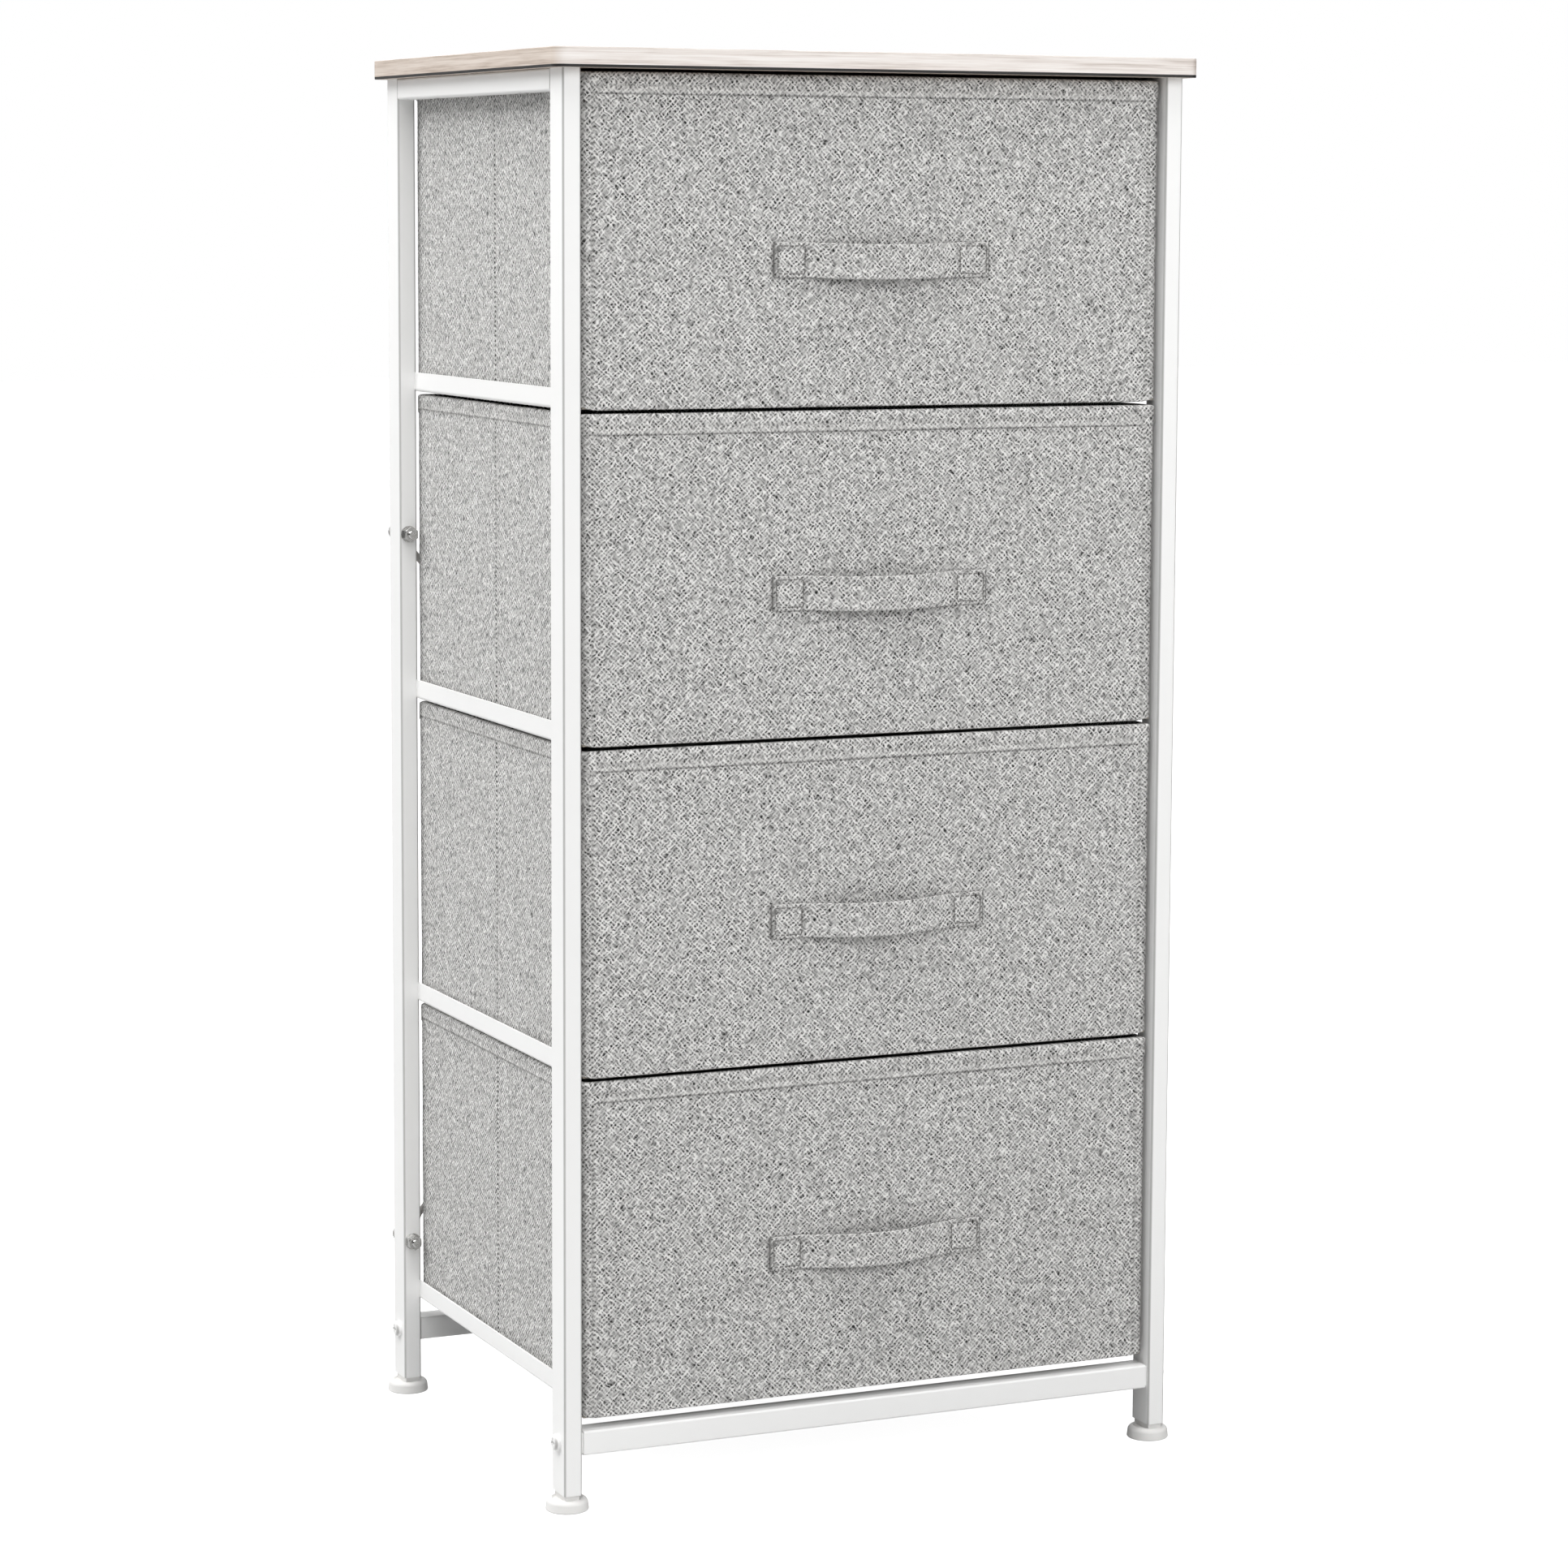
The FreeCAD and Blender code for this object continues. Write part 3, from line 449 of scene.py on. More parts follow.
def yarns(tree, cloth, turn, seed):
    """One set of parallel yarns, turned by some degrees: random flecks on rounded crests."""
    way = add_node(tree, "VectorRotate", {
        "Vector": cloth, "Angle": math.radians(turn)}, rotation_type="Z_AXIS")
    laid = add_node(tree, "VectorMath", {
        0: way.outputs[0], 1: (1 / FLECK_LENGTH, 1 / FLECK_WIDTH, 0), 2: (0, 0, seed)},
        operation="MULTIPLY_ADD")
    flecks = add_node(tree, "TexNoise", {
        "Vector": laid.outputs[0], "Scale": 1.0, "Detail": 1.0, "Roughness": 0.5})
    axes = add_node(tree, "SeparateXYZ", {0: way.outputs[0]})
    turns = add_node(tree, "Math", {
        0: axes.outputs["Y"], 1: 2 * math.pi / YARN_PITCH}, operation="MULTIPLY")
    round_top = add_node(tree, "Math", {0: turns.outputs[0]}, operation="COSINE")
    crests = add_node(tree, "Math", {
        0: round_top.outputs[0], 1: CREST, 2: flecks.outputs["Fac"]}, operation="MULTIPLY_ADD")
    return crests.outputs[0]


print("yarns every", YARN_PITCH / MM, "mm, flecks", FLECK_LENGTH / MM, "mm long")

# %% Stitches in the cloth
STITCH_PITCH = 2.8 * MM
# The first mark holds painted shade above 0 and painted highlight below 0. The other two place the
# stitch rows.
PAINTED_SHADE_MARK = "seam"
STITCH_ROW = "stitch"
STITCH_RUN = "stitch_run"
HOLE_BEAT = (0.0, 0.7)
THREAD_BEAT = (-0.1, -0.7)


def stitch_marks(tree):
    """Two masks along a row of stitches: the needle's holes, and the thread between them."""
    row = add_node(tree, "Attribute", attribute_name=STITCH_ROW)
    run = add_node(tree, "Attribute", attribute_name=STITCH_RUN)
    turns = add_node(tree, "Math", {
        0: run.outputs["Fac"], 1: 2 * math.pi / STITCH_PITCH}, operation="MULTIPLY")
    beat = add_node(tree, "Math", {0: turns.outputs[0]}, operation="COSINE")
    masks = []
    for start, full in (HOLE_BEAT, THREAD_BEAT):
        share = add_node(tree, "MapRange", {
            "Value": beat.outputs[0], "From Min": start, "From Max": full})
        mask = add_node(tree, "Math", {
            0: share.outputs["Result"], 1: row.outputs["Fac"]}, operation="MULTIPLY")
        masks.append(mask.outputs[0])
    return masks


print("a stitch every", STITCH_PITCH / MM, "mm")

# %% Woven cloth
SHADOWED = 0.41
LIT = 0.93
UNDER_SHARE = 0.3
MOTTLE_SIZE = 16.0 * MM
MOTTLE = 0.12
WEAVE_HEIGHT = 0.2 * MM
# The needle holes' dark is painted shade.
HOLE_SHADE_COLOUR = "#3a3937"
THREAD_COLOUR = "#d2d1ce"
PAINTED_SHADE_COLOUR = "#3e3d3b"
PAINTED_HIGHLIGHT_COLOUR = "#d9d8d5"


def woven_cloth(name, dark, light):
    """A flecked weave at 45 degrees, with dark pits between the yarns."""
    material, tree = new_material(name)
    spot = add_node(tree, "UVMap", uv_map=CLOTH_MAP)
    slow = add_node(tree, "TexNoise", {
        "Vector": spot.outputs["UV"], "Scale": 1 / WANDER_SIZE, "Detail": 1.0})
    push = add_node(tree, "VectorMath", {
        0: slow.outputs["Color"], 1: (0.5, 0.5, 0.5)}, operation="SUBTRACT")
    cloth = add_node(tree, "VectorMath", {
        0: push.outputs[0], 1: (YARN_WANDER,) * 3, 2: spot.outputs["UV"]}, operation="MULTIPLY_ADD")
    one = yarns(tree, cloth.outputs[0], YARN_TURN, 0.0)
    two = yarns(tree, cloth.outputs[0], -YARN_TURN, SECOND_YARN_SEED)
    top = add_node(tree, "Math", {0: one, 1: two}, operation="MAXIMUM")
    low = add_node(tree, "Math", {0: one, 1: two}, operation="MINIMUM")
    weave = add_node(tree, "Math", {
        0: low.outputs[0], 1: UNDER_SHARE, 2: top.outputs[0]}, operation="MULTIPLY_ADD")
    flecks = add_node(tree, "MapRange", {
        "Value": weave.outputs[0], "From Min": SHADOWED, "From Max": LIT}, clamp=False)
    clouds = add_node(tree, "TexNoise", {
        "Vector": spot.outputs["UV"], "Scale": 1 / MOTTLE_SIZE, "Detail": 3.0})
    drift = add_node(tree, "MapRange", {
        "Value": clouds.outputs["Fac"], "To Min": -MOTTLE, "To Max": MOTTLE})
    share = add_node(tree, "Math", {
        0: flecks.outputs["Result"], 1: drift.outputs["Result"]}, operation="ADD")
    tone = add_node(tree, "MixRGB", {
        "Fac": share.outputs[0], "Color1": linear(dark), "Color2": linear(light)}, use_clamp=True)
    # The mark named seam: painted shade above 0, painted highlight below 0.
    seam = add_node(tree, "Attribute", attribute_name=PAINTED_SHADE_MARK)
    painted_highlight = add_node(tree, "Math", {0: seam.outputs["Fac"], 1: -1.0}, operation="MULTIPLY")
    holes, thread_tops = stitch_marks(tree)
    colour = tone.outputs["Color"]
    overlays = (
        (seam.outputs["Fac"], PAINTED_SHADE_COLOUR), (painted_highlight.outputs[0], PAINTED_HIGHLIGHT_COLOUR),
        (thread_tops, THREAD_COLOUR), (holes, HOLE_SHADE_COLOUR))
    for share, target in overlays:
        colour = add_node(tree, "MixRGB", {
            "Fac": share, "Color1": colour, "Color2": linear(target)}).outputs["Color"]
    height = add_node(tree, "Math", {0: weave.outputs[0], 1: holes}, operation="SUBTRACT")
    relief = add_node(tree, "Bump", {
        "Height": height.outputs[0], "Strength": 0.3, "Distance": WEAVE_HEIGHT})
    shader = add_node(tree, "BsdfPrincipled", {
        "Base Color": colour, "Roughness": 0.92, "IOR": 1.45,
        "Sheen Weight": 0.05, "Sheen Roughness": 0.5, "Specular IOR Level": 0.15,
        "Normal": relief.outputs["Normal"]})
    finish_material(tree, shader)
    return material


linen_look = woven_cloth("woven_polyester_linen_look", "#262524", "#ecebe9")
print("cloth:", linen_look.name)

# %% [markdown]
# ## Lining, thread and board
# Inside, the drawers are lined with spunbond polypropylene, the papery cloth of shopping
# bags, bonded by rows of tiny dots 1.6 mm apart. Their undersides are of the same cloth in
# black, which keeps the gaps between the drawers dark. The seams are sewn with grey polyester
# thread, twisted at about half a millimetre. A wave node draws about three slanting bands to
# each unit of its scale, so that number is divided out. The stiff boards in the walls are
# greyboard, pressed from waste paper, with dark and light fibres in it.

# %% Spunbond lining
BOND_PITCH = 1.6 * MM
DOT_INSIDE = 0.15
DOT_OUTSIDE = 0.35
DOT_DEPTH = 0.15 * MM
FIBRES_PER_METRE = 900.0


def spunbond(name, dark, light):
    """Papery bonded cloth: fine fibres, pressed down in a grid of dots."""
    material, tree = new_material(name)
    spot = add_node(tree, "UVMap", uv_map=CLOTH_MAP)
    bonds = add_node(tree, "TexVoronoi", {
        "Vector": spot.outputs["UV"], "Scale": 1 / BOND_PITCH,
        "Randomness": 0.15}, voronoi_dimensions="2D")
    dots = add_node(tree, "MapRange", {
        "Value": bonds.outputs["Distance"], "From Min": DOT_INSIDE, "From Max": DOT_OUTSIDE})
    fibres = add_node(tree, "TexNoise", {
        "Vector": spot.outputs["UV"], "Scale": FIBRES_PER_METRE, "Detail": 4.0})
    tone = add_node(tree, "MixRGB", {
        "Fac": fibres.outputs["Fac"], "Color1": linear(dark), "Color2": linear(light)})
    pressed_dots_and_hem_highlight = add_node(tree, "Bump", {
        "Height": dots.outputs["Result"], "Strength": 0.5, "Distance": DOT_DEPTH})
    shader = add_node(tree, "BsdfPrincipled", {
        "Base Color": tone.outputs["Color"], "Roughness": 0.8, "IOR": 1.49, "Sheen Weight": 0.1,
        "Normal": pressed_dots_and_hem_highlight.outputs["Normal"]})
    finish_material(tree, shader)
    return material


lining = spunbond("spunbond_polypropylene", "#bdbcba", "#dddcda")
underside = spunbond("spunbond_polypropylene_black", "#141414", "#2a2a29")
print("bond dots every", BOND_PITCH / MM, "mm")

# %% Sewing thread
THREAD_TWIST = 0.5 * MM
BANDS_PER_UNIT = 3

thread, tree = new_material("polyester_sewing_thread")
place = add_node(tree, "TexCoord")
twist = add_node(tree, "TexWave", {
    "Vector": place.outputs["Object"],
    "Scale": 1 / THREAD_TWIST / BANDS_PER_UNIT}, bands_direction="DIAGONAL")
tone = add_node(tree, "MixRGB", {
    "Fac": twist.outputs["Fac"], "Color1": linear("#5a5957"), "Color2": linear("#8e8d8a")})
shader = add_node(tree, "BsdfPrincipled", {
    "Base Color": tone.outputs["Color"], "Roughness": 0.6, "IOR": 1.5, "Sheen Weight": 0.2})
finish_material(tree, shader)
print("thread:", thread.name)

# %% Greyboard
BOARD_FIBRE = 2 * MM

greyboard, tree = new_material("pressed_greyboard")
place = add_node(tree, "TexCoord")
fibres = add_node(tree, "TexNoise", {
    "Vector": place.outputs["Object"], "Scale": 1 / BOARD_FIBRE, "Detail": 6.0, "Roughness": 0.7})
tone = add_node(tree, "MixRGB", {
    "Fac": fibres.outputs["Fac"], "Color1": linear("#77726a"), "Color2": linear("#aaa59b")})
shader = add_node(tree, "BsdfPrincipled", {
    "Base Color": tone.outputs["Color"], "Roughness": 0.9, "IOR": 1.45})
finish_material(tree, shader)
print("inside the walls:", greyboard.name)

# %% [markdown]
# ## Finish the hard parts
# The steel, plastic and board parts already have their true shape, so they only need a
# material. A piece's name says what it is, so a short list of name parts is enough to choose
# its finish. Where two parts fit a name, the longer wins. That is a known fault in three
# pieces: cross_rail_screws and cross_rail_inserts take the rail's white paint, and
# top_panel_screws the board's print, where zinc and nylon would be right.

# %% Dress the frame
PAINTED = ("post", "top_rail", "cross_rail", "bottom_rail", "runner")
PLATED = ("screws", "bolts", "nuts", "washers")
FINISHES = {
    "brace_rod": (rod_coat, "brace_steel"),
    "inserts": (insert_plastic, "insert_plastic"),
    "foot": (foot_plastic, "foot_plastic"),
    "top_panel": (board_face, "board_laminate"),
    "edge_banding": (board_edge, "edge_band"),
    "board": (greyboard, "stiffener_board"),
}
FINISHES.update({part: (white_coat, "powder_coat") for part in PAINTED})
FINISHES.update({part: (zinc, "zinc_plate") for part in PLATED})


def finish_of(node_name):
    """The finish whose key is the longest that the node's name holds."""
    keys = [key for key in FINISHES if key in node_name]
    return FINISHES[max(keys, key=len)] if keys else None


dressed = 0
for name, node_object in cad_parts.items():
    found = finish_of(name)
    if found:
        node_object.data.materials.clear()
        node_object.data.materials.append(found[0])
        dressed += 1
print("CAD nodes with a finish:", dressed)

# %% [markdown]
# ## Drawer sizes
# Every drawer hangs on two ledges of the frame. Its sizes are read from its own parts in the
# model and not typed again. The walls' thickness follows from where the stiff boards sit in them.

# %% Measure a drawer


def drawer_sizes(number):
    """The planes of one drawer: outside, inside, floor and rim."""
    name = "drawer_" + str(number)
    low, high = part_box(name + "_shell")
    side_low, side_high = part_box(name + "_left_boards")
    front_low, front_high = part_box(name + "_front_board")
    back_low, back_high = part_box(name + "_back_board")
    base_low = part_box(name + "_bottom_board")[0]
    side_wall = side_low.x - low.x + side_high.x - low.x
    return {
        "name": name,
        "half_width": high.x,
        "front": low.y,
        "back": high.y,
        "hem": low.z,
        "rim": high.z,
        "floor": base_low.z,
        "inner_half": high.x - side_wall,
        "inner_front": front_high.y + front_low.y - low.y,
        "inner_back": back_low.y - (high.y - back_high.y),
    }


drawers = [drawer_sizes(number) for number in range(1, 5)]
for d in drawers:
    print(d["name"], "rim", round(d["rim"] / MM, 1), "hem", round(d["hem"] / MM, 1), "mm")

# %% [markdown]
# ## The sewn box
# A drawer is one bag of cloth over stiff boards. It is built as a ring of points round the
# walls, seen from above, repeated at many heights: up the outside, over the rim and down the
# lining. The points crowd together where a seam runs, because a seam is only a millimetre
# wide. First come two helpers: one for where the points go, and one for the ring.

# %% Points along a wall
SEAM_STEP = 0.6 * MM
SEAM_STEPS_EACH_WAY = 3
WALL_STEP = 5.0 * MM
CORNER_TURNS = 5
CORNER_RADIUS = 2.2 * MM


def ticks(start, end, step, marks=()):
    """Places from start to end, a step apart, and close together at each mark."""
    count = max(1, math.ceil((end - start) / step))
    even = [start + (end - start) * i / count for i in range(count + 1)]
    shifts = range(-SEAM_STEPS_EACH_WAY, SEAM_STEPS_EACH_WAY + 1)
    fine = [mark + SEAM_STEP * shift for mark in marks for shift in shifts]
    clear = [p for p in even if all(abs(p - f) > SEAM_STEP for f in fine)]
    return sorted(set([start, end] + clear + [f for f in fine if start < f < end]))


def ring(half_width, front, back, radius, sides_marks, front_marks):
    """Points round a rounded box from the middle of its back: place, way out, wall name."""
    y_ticks = ticks(front + radius, back - radius, WALL_STEP, sides_marks)
    x_ticks = ticks(-half_width + radius, half_width - radius, WALL_STEP, front_marks)
    points = []

    def corner(x, y, start):
        for step in range(1, CORNER_TURNS):
            angle = math.radians(start + 90 * step / CORNER_TURNS)
            out = Vector((math.cos(angle), math.sin(angle)))
            points.append((Vector((x, y)) + out * radius, out, "corner"))

    middle = half_width - radius
    points += [(Vector((x, back)), Vector((0, 1)), "back") for x in reversed(x_ticks) if x <= 0]
    corner(-middle, back - radius, 90)
    points += [(Vector((-half_width, y)), Vector((-1, 0)), "left") for y in reversed(y_ticks)]
    corner(-middle, front + radius, 180)
    points += [(Vector((x, front)), Vector((0, -1)), "front") for x in x_ticks]
    corner(middle, front + radius, 270)
    points += [(Vector((half_width, y)), Vector((1, 0)), "right") for y in y_ticks]
    corner(middle, back - radius, 0)
    points += [(Vector((x, back)), Vector((0, 1)), "back") for x in reversed(x_ticks) if x > 0]
    return points


top = drawers[0]
plain = ring(top["half_width"], top["front"], top["back"], CORNER_RADIUS, (), ())
print("points round a drawer without seams:", len(plain))

# %% [markdown]
# ### Relief of the cloth
# Cloth over a board is never quite flat. A slow noise lifts it by a fraction of a
# millimetre. The hem at the rim is doubled, so it stands proud: under its lower edge a thin
# dark line is painted shadow, and the band just above that edge gets a painted highlight.
# Each seam pulls a narrow groove with painted shade in it, and its stitches dive into the
# cloth. The front's edges beside the posts and its rounded corners get painted shade too.
# Three numbers for each point carry this to the material: its painted shade (dark above 0,
# painted highlight below), its share in a row of stitches, and how far along the row it lies.

# %% Hems and seams
FRONT_HEM = 11.5 * MM
SIDE_HEM = 9.0 * MM
HEM_RELIEF = 0.5 * MM
HEM_END = 8.0 * MM
STITCH_INSET = 4.0 * MM
LOWER_HEM = 4.0 * MM
SEAM_DEPTH = 0.4 * MM
SEAM_HALF_WIDTH = 0.8 * MM
SOFTNESS = 0.25 * MM
SOFT_WAVE = 45.0 * MM
MARGIN = 6.5 * MM
EDGE_SHADE = 0.45
EDGE_REACH = 3.0 * MM
SIDE_STRENGTH = 0.5
FRONT_SEAM_SHARE = 0.6
HEM_SHADOW = 0.7
HEM_SHADOW_DROP = 0.4 * MM
HEM_SHADOW_WIDTH = 0.5 * MM
HEM_HIGHLIGHT = 0.35
HEM_HIGHLIGHT_RISE = 1.3 * MM
HEM_HIGHLIGHT_WIDTH = 1.0 * MM
SEAM_GROOVE_SHADE = 0.4
SEAM_GROOVE_SHADE_AT_HEM_END = 0.25
LOWER_HEM_LINE = 0.35
LOWER_HEM_WIDTH = 0.6 * MM
ROW_SHARE = 0.5


def groove(distance, half_width=SEAM_HALF_WIDTH):
    """How far into a seam a point lies, from 0 outside it to 1 at its middle."""
    return math.exp(-(distance / half_width) ** 2)


def step_up(distance):
    """0 below an edge of doubled cloth and 1 above it, over half a millimetre."""
    share = min(1.0, max(0.0, distance / SEAM_STEP))
    return share * share * (3 - 2 * share)


print("a seam's shade 1 mm off its middle:", round(groove(1 * MM), 2))

# %% Relief at a point


def seam_lines(d, wall, along, height):
    """A point's share in the stitch row along the hem, and in the seam that runs down."""
    hem = FRONT_HEM if wall in ("front", "corner") else SIDE_HEM
    above = height - (d["rim"] - hem)
    row = groove(above - STITCH_INSET) if wall != "corner" else 0.0
    down = 0.0
    if wall == "front":
        down = FRONT_SEAM_SHARE * groove(abs(along) - (d["half_width"] - MARGIN))
    if wall in ("left", "right"):
        down = groove(along - (d["inner_front"] + d["inner_back"]) / 2)
    if above > 0:
        down = 0.0
    return above, row, down


def relief_at(d, wall, along, height, seed):
    """Lift of the cloth off its board, its painted shade, its stitch share and its run."""
    above, row, down = seam_lines(d, wall, along, height)
    soft = noise.noise(Vector((along / SOFT_WAVE, height / SOFT_WAVE, seed))) * SOFTNESS
    lift = soft + HEM_RELIEF * step_up(above) - SEAM_DEPTH * max(ROW_SHARE * row, down)
    strength = 1.0 if wall == "front" else SIDE_STRENGTH
    # Painted shadow under the hem's edge, painted highlight just above it, painted shade in the seam's
    # groove.
    hem_shadow = HEM_SHADOW * groove(above + HEM_SHADOW_DROP, HEM_SHADOW_WIDTH)
    pressed_dots_and_hem_highlight = HEM_HIGHLIGHT * groove(above - HEM_HIGHLIGHT_RISE, HEM_HIGHLIGHT_WIDTH)
    shade = strength * (hem_shadow - pressed_dots_and_hem_highlight) + SEAM_GROOVE_SHADE * down
    row *= ROW_SHARE * strength
    if wall == "front":
        inside = d["half_width"] - abs(along)
        if inside < HEM_END:
            shade = SEAM_GROOVE_SHADE_AT_HEM_END * down
            row = 0.0
        # Painted shade along the front's edges beside the posts, and a dark line along the lower hem.
        shade += EDGE_SHADE * groove(inside, EDGE_REACH)
        shade += LOWER_HEM_LINE * groove(height - d["hem"] - LOWER_HEM, LOWER_HEM_WIDTH)
    # The rounded corners get the same painted shade.
    if wall == "corner":
        shade = EDGE_SHADE
    if down > row:
        return lift, shade, down, height
    return lift, shade, row, along


hem_relief = relief_at(top, "front", 0, top["rim"] - FRONT_HEM / 2, 1.0)
print("lift, shade, stitch share and run inside a hem:", [round(v, 5) for v in hem_relief])

# %% [markdown]
# ### Building the mesh
# Each row of the mesh is the ring at one height. The share says how far the row lies from
# the outer ring (0) to the inner one (1). The front wall hangs lower than the rest, as an
# apron that hides the ledges, so the lowest rows take their height from the wall they are in.

# %% Rows of a drawer
RIM_ROUNDING = 1.6 * MM
FOLD_ROUNDING = 1.0 * MM
FLOOR_CLOTH = 0.8 * MM
FRONT_CURVE = 9.0 * MM
FRONT_CURVE_RISE = 1.6 * MM
LINING_STEP = 20 * MM
FIRST_ROW = 1.0 * MM
LOWER_ROWS = (
    ("under", 1.02, 0.3 * MM), ("under", 1.0, 0.0), ("fold", 0.6, 0.0),
    ("fold", 0.25, 0.15 * MM), ("fold", 0.08, 0.45 * MM), ("fold", 0.0, FOLD_ROUNDING))
RIM_ANGLES = (30, 60, 90, 120, 150)


def lowest(d, point, wall):
    """Height of the cloth's lower edge: the apron in front, the floor elsewhere."""
    if wall == "front":
        share = max(0.0, abs(point.x) - (d["half_width"] - FRONT_CURVE)) / FRONT_CURVE
        return d["hem"] + FRONT_CURVE_RISE * share * share
    if point.y < d["inner_front"]:
        return d["hem"] + FRONT_CURVE_RISE
    return d["floor"] - FLOOR_CLOTH


def drawer_rows(d):
    """Every row from the underside, up the outside, over the rim and down the lining."""
    rows = list(LOWER_ROWS)
    marks = [d["rim"] - hem + up for hem in (FRONT_HEM, SIDE_HEM) for up in (0.0, STITCH_INSET)]
    start = d["floor"] + FIRST_ROW
    end = d["rim"] - RIM_ROUNDING
    rows += [("outer", 0.0, z) for z in ticks(start, end, WALL_STEP, marks)]
    for angle in RIM_ANGLES:
        share = (1 - math.cos(math.radians(angle))) / 2
        rows.append(("rim", share, end + RIM_ROUNDING * math.sin(math.radians(angle))))
    rows += [("inner", 1.0, z) for z in reversed(ticks(start, end, LINING_STEP))]
    rows.append(("inner", 1.0, d["floor"]))
    return rows


print("rows in a drawer:", len(drawer_rows(top)))

# %% Sew a drawer
RIM_WAVE = 60.0 * MM
RIM_LIFT = 0.25 * MM
RIM_LAYER = 3.0
APRON_REACH = 30.0 * MM
LOWEST_ROW_GAP = 0.4 * MM


def fit(point, outer, inner):
    """The same spot on a smaller rectangle. Each is half width, front and back."""
    share = (point.y - outer[1]) / (outer[2] - outer[1])
    return Vector((point.x * inner[0] / outer[0], inner[1] + share * (inner[2] - inner[1])))


def wall_height(d, level, low):
    """Height on the outside wall: the lowest rows close up towards the cloth's lower edge."""
    start = d["floor"] + FIRST_ROW
    reach = d["floor"] + APRON_REACH
    if level >= reach:
        return level
    bottom = low + FOLD_ROUNDING + LOWEST_ROW_GAP
    return bottom + (level - start) / (reach - start) * (reach - bottom)


def sew_point(d, spot, row, around, seed):
    """One point of the cloth: its place and its three marks."""
    point, out, wall = spot
    kind, share, level = row
    place = point.lerp(fit(
        point, (d["half_width"], d["front"], d["back"]),
        (d["inner_half"], d["inner_front"], d["inner_back"])), share)
    low = lowest(d, point, wall)
    z, shade, stitch, run = level, 0.0, 0.0, 0.0
    if kind == "under":
        z = d["floor"] - FLOOR_CLOTH + level if share > 1 else max(low, d["floor"] - FLOOR_CLOTH)
    if kind == "fold":
        z = low + level
    if kind == "outer":
        along = point.x if wall in ("front", "back") else point.y
        z = wall_height(d, level, low)
        lift, shade, stitch, run = relief_at(d, wall, along, z, seed)
        place = place + out * lift
    if kind == "rim":
        z += RIM_LIFT * noise.noise(Vector((around / RIM_WAVE, seed, RIM_LAYER)))
        place = place + out * HEM_RELIEF * (1 - share)
    return (place.x, place.y, z), shade, stitch, run


def sew_drawer(d, seed):
    """The cloth of one drawer: its ring, rows, lengths around, points and marks."""
    fold = (d["inner_front"] + d["inner_back"]) / 2
    margin = d["half_width"] - MARGIN
    outer = ring(
        d["half_width"], d["front"], d["back"], CORNER_RADIUS, [fold], [-margin, margin])
    around = [0.0]
    for i, spot in enumerate(outer):
        around.append(around[-1] + (outer[(i + 1) % len(outer)][0] - spot[0]).length)
    rows = drawer_rows(d)
    points = [sew_point(d, spot, row, around[i], seed)
              for row in rows for i, spot in enumerate(outer)]
    return rows, around, points


print("round a drawer:", round(sew_drawer(top, 0.0)[1][-1] / MM), "mm of cloth")

# %% Mesh from rows
INNER_HEM = 18.0 * MM
WOVEN, LINED, UNDER = 0, 1, 2
CLOTH_SEED = 7.0


def mesh_piece(name, vertices, faces, materials, uvs, marks=None, picks=None):
    """A smooth-shaded object with its cloth UV map, its marks and its materials."""
    mesh = bpy.data.meshes.new(name)
    mesh.from_pydata(vertices, [], faces)
    for material in materials:
        mesh.materials.append(material)
    if picks:
        mesh.polygons.foreach_set("material_index", picks)
    mesh.polygons.foreach_set("use_smooth", [True] * len(faces))
    layer = mesh.uv_layers.new(name=CLOTH_MAP)
    layer.uv.foreach_set("vector", [value for pair in uvs for value in pair])
    for mark, values in (marks or {}).items():
        mesh.attributes.new(mark, "FLOAT", "POINT").data.foreach_set("value", values)
    mesh.validate()
    mesh.update()
    piece = bpy.data.objects.new(name, mesh)
    bpy.context.scene.collection.objects.link(piece)
    return piece


def closed_tube(rows, count, start=0):
    """Faces between rings of points, row by row, and one flat face at each end."""
    faces = []
    for near in range(start, start + (rows - 1) * count, count):
        for k in range(count):
            n = (k + 1) % count
            faces.append((near + k, near + n, near + count + n, near + count + k))
    first = range(start, start + count)
    last = range(start + (rows - 1) * count, start + rows * count)
    return faces + [tuple(reversed(first)), tuple(last)]


def pick_of(d, row):
    """Which cloth a row is of: woven outside and at the inner hem, lining below it, black under."""
    kind, share, level = row
    if kind == "under":
        return UNDER
    return LINED if kind == "inner" and level < d["rim"] - INNER_HEM else WOVEN


def drawer_cloth(d, seed):
    """One drawer's cloth as a closed mesh. Its UV map runs round the box, and up and down it."""
    rows, around, points = sew_drawer(d, seed)
    vertices = [point[0] for point in points]
    marks = {name: [point[k] for point in points]
             for k, name in ((1, PAINTED_SHADE_MARK), (2, STITCH_ROW), (3, STITCH_RUN))}
    count = len(around) - 1
    faces = closed_tube(len(rows), count)
    picks = [pick_of(d, row) for row in rows[:-1] for i in range(count)] + [UNDER, LINED]
    uvs = []
    for number, face in enumerate(faces[:-2]):
        row, i = divmod(number, count)
        inside = rows[row][0] == "inner"
        for vertex, length in zip(face, (around[i], around[i + 1], around[i + 1], around[i])):
            level = vertices[vertex][2]
            uvs.append((length, 2 * d["rim"] - level if inside else level))
    uvs += [vertices[vertex][:2] for face in faces[-2:] for vertex in face]
    cloths = [linen_look, lining, underside]
    return mesh_piece(d["name"] + "_cloth", vertices, faces, cloths, uvs, marks, picks)


for number, d in enumerate(drawers, 1):
    cloth = drawer_cloth(d, CLOTH_SEED * number)
    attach(cloth, d["name"])
    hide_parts(d["name"] + "_shell")
    print(cloth.name, len(cloth.data.vertices), "points")

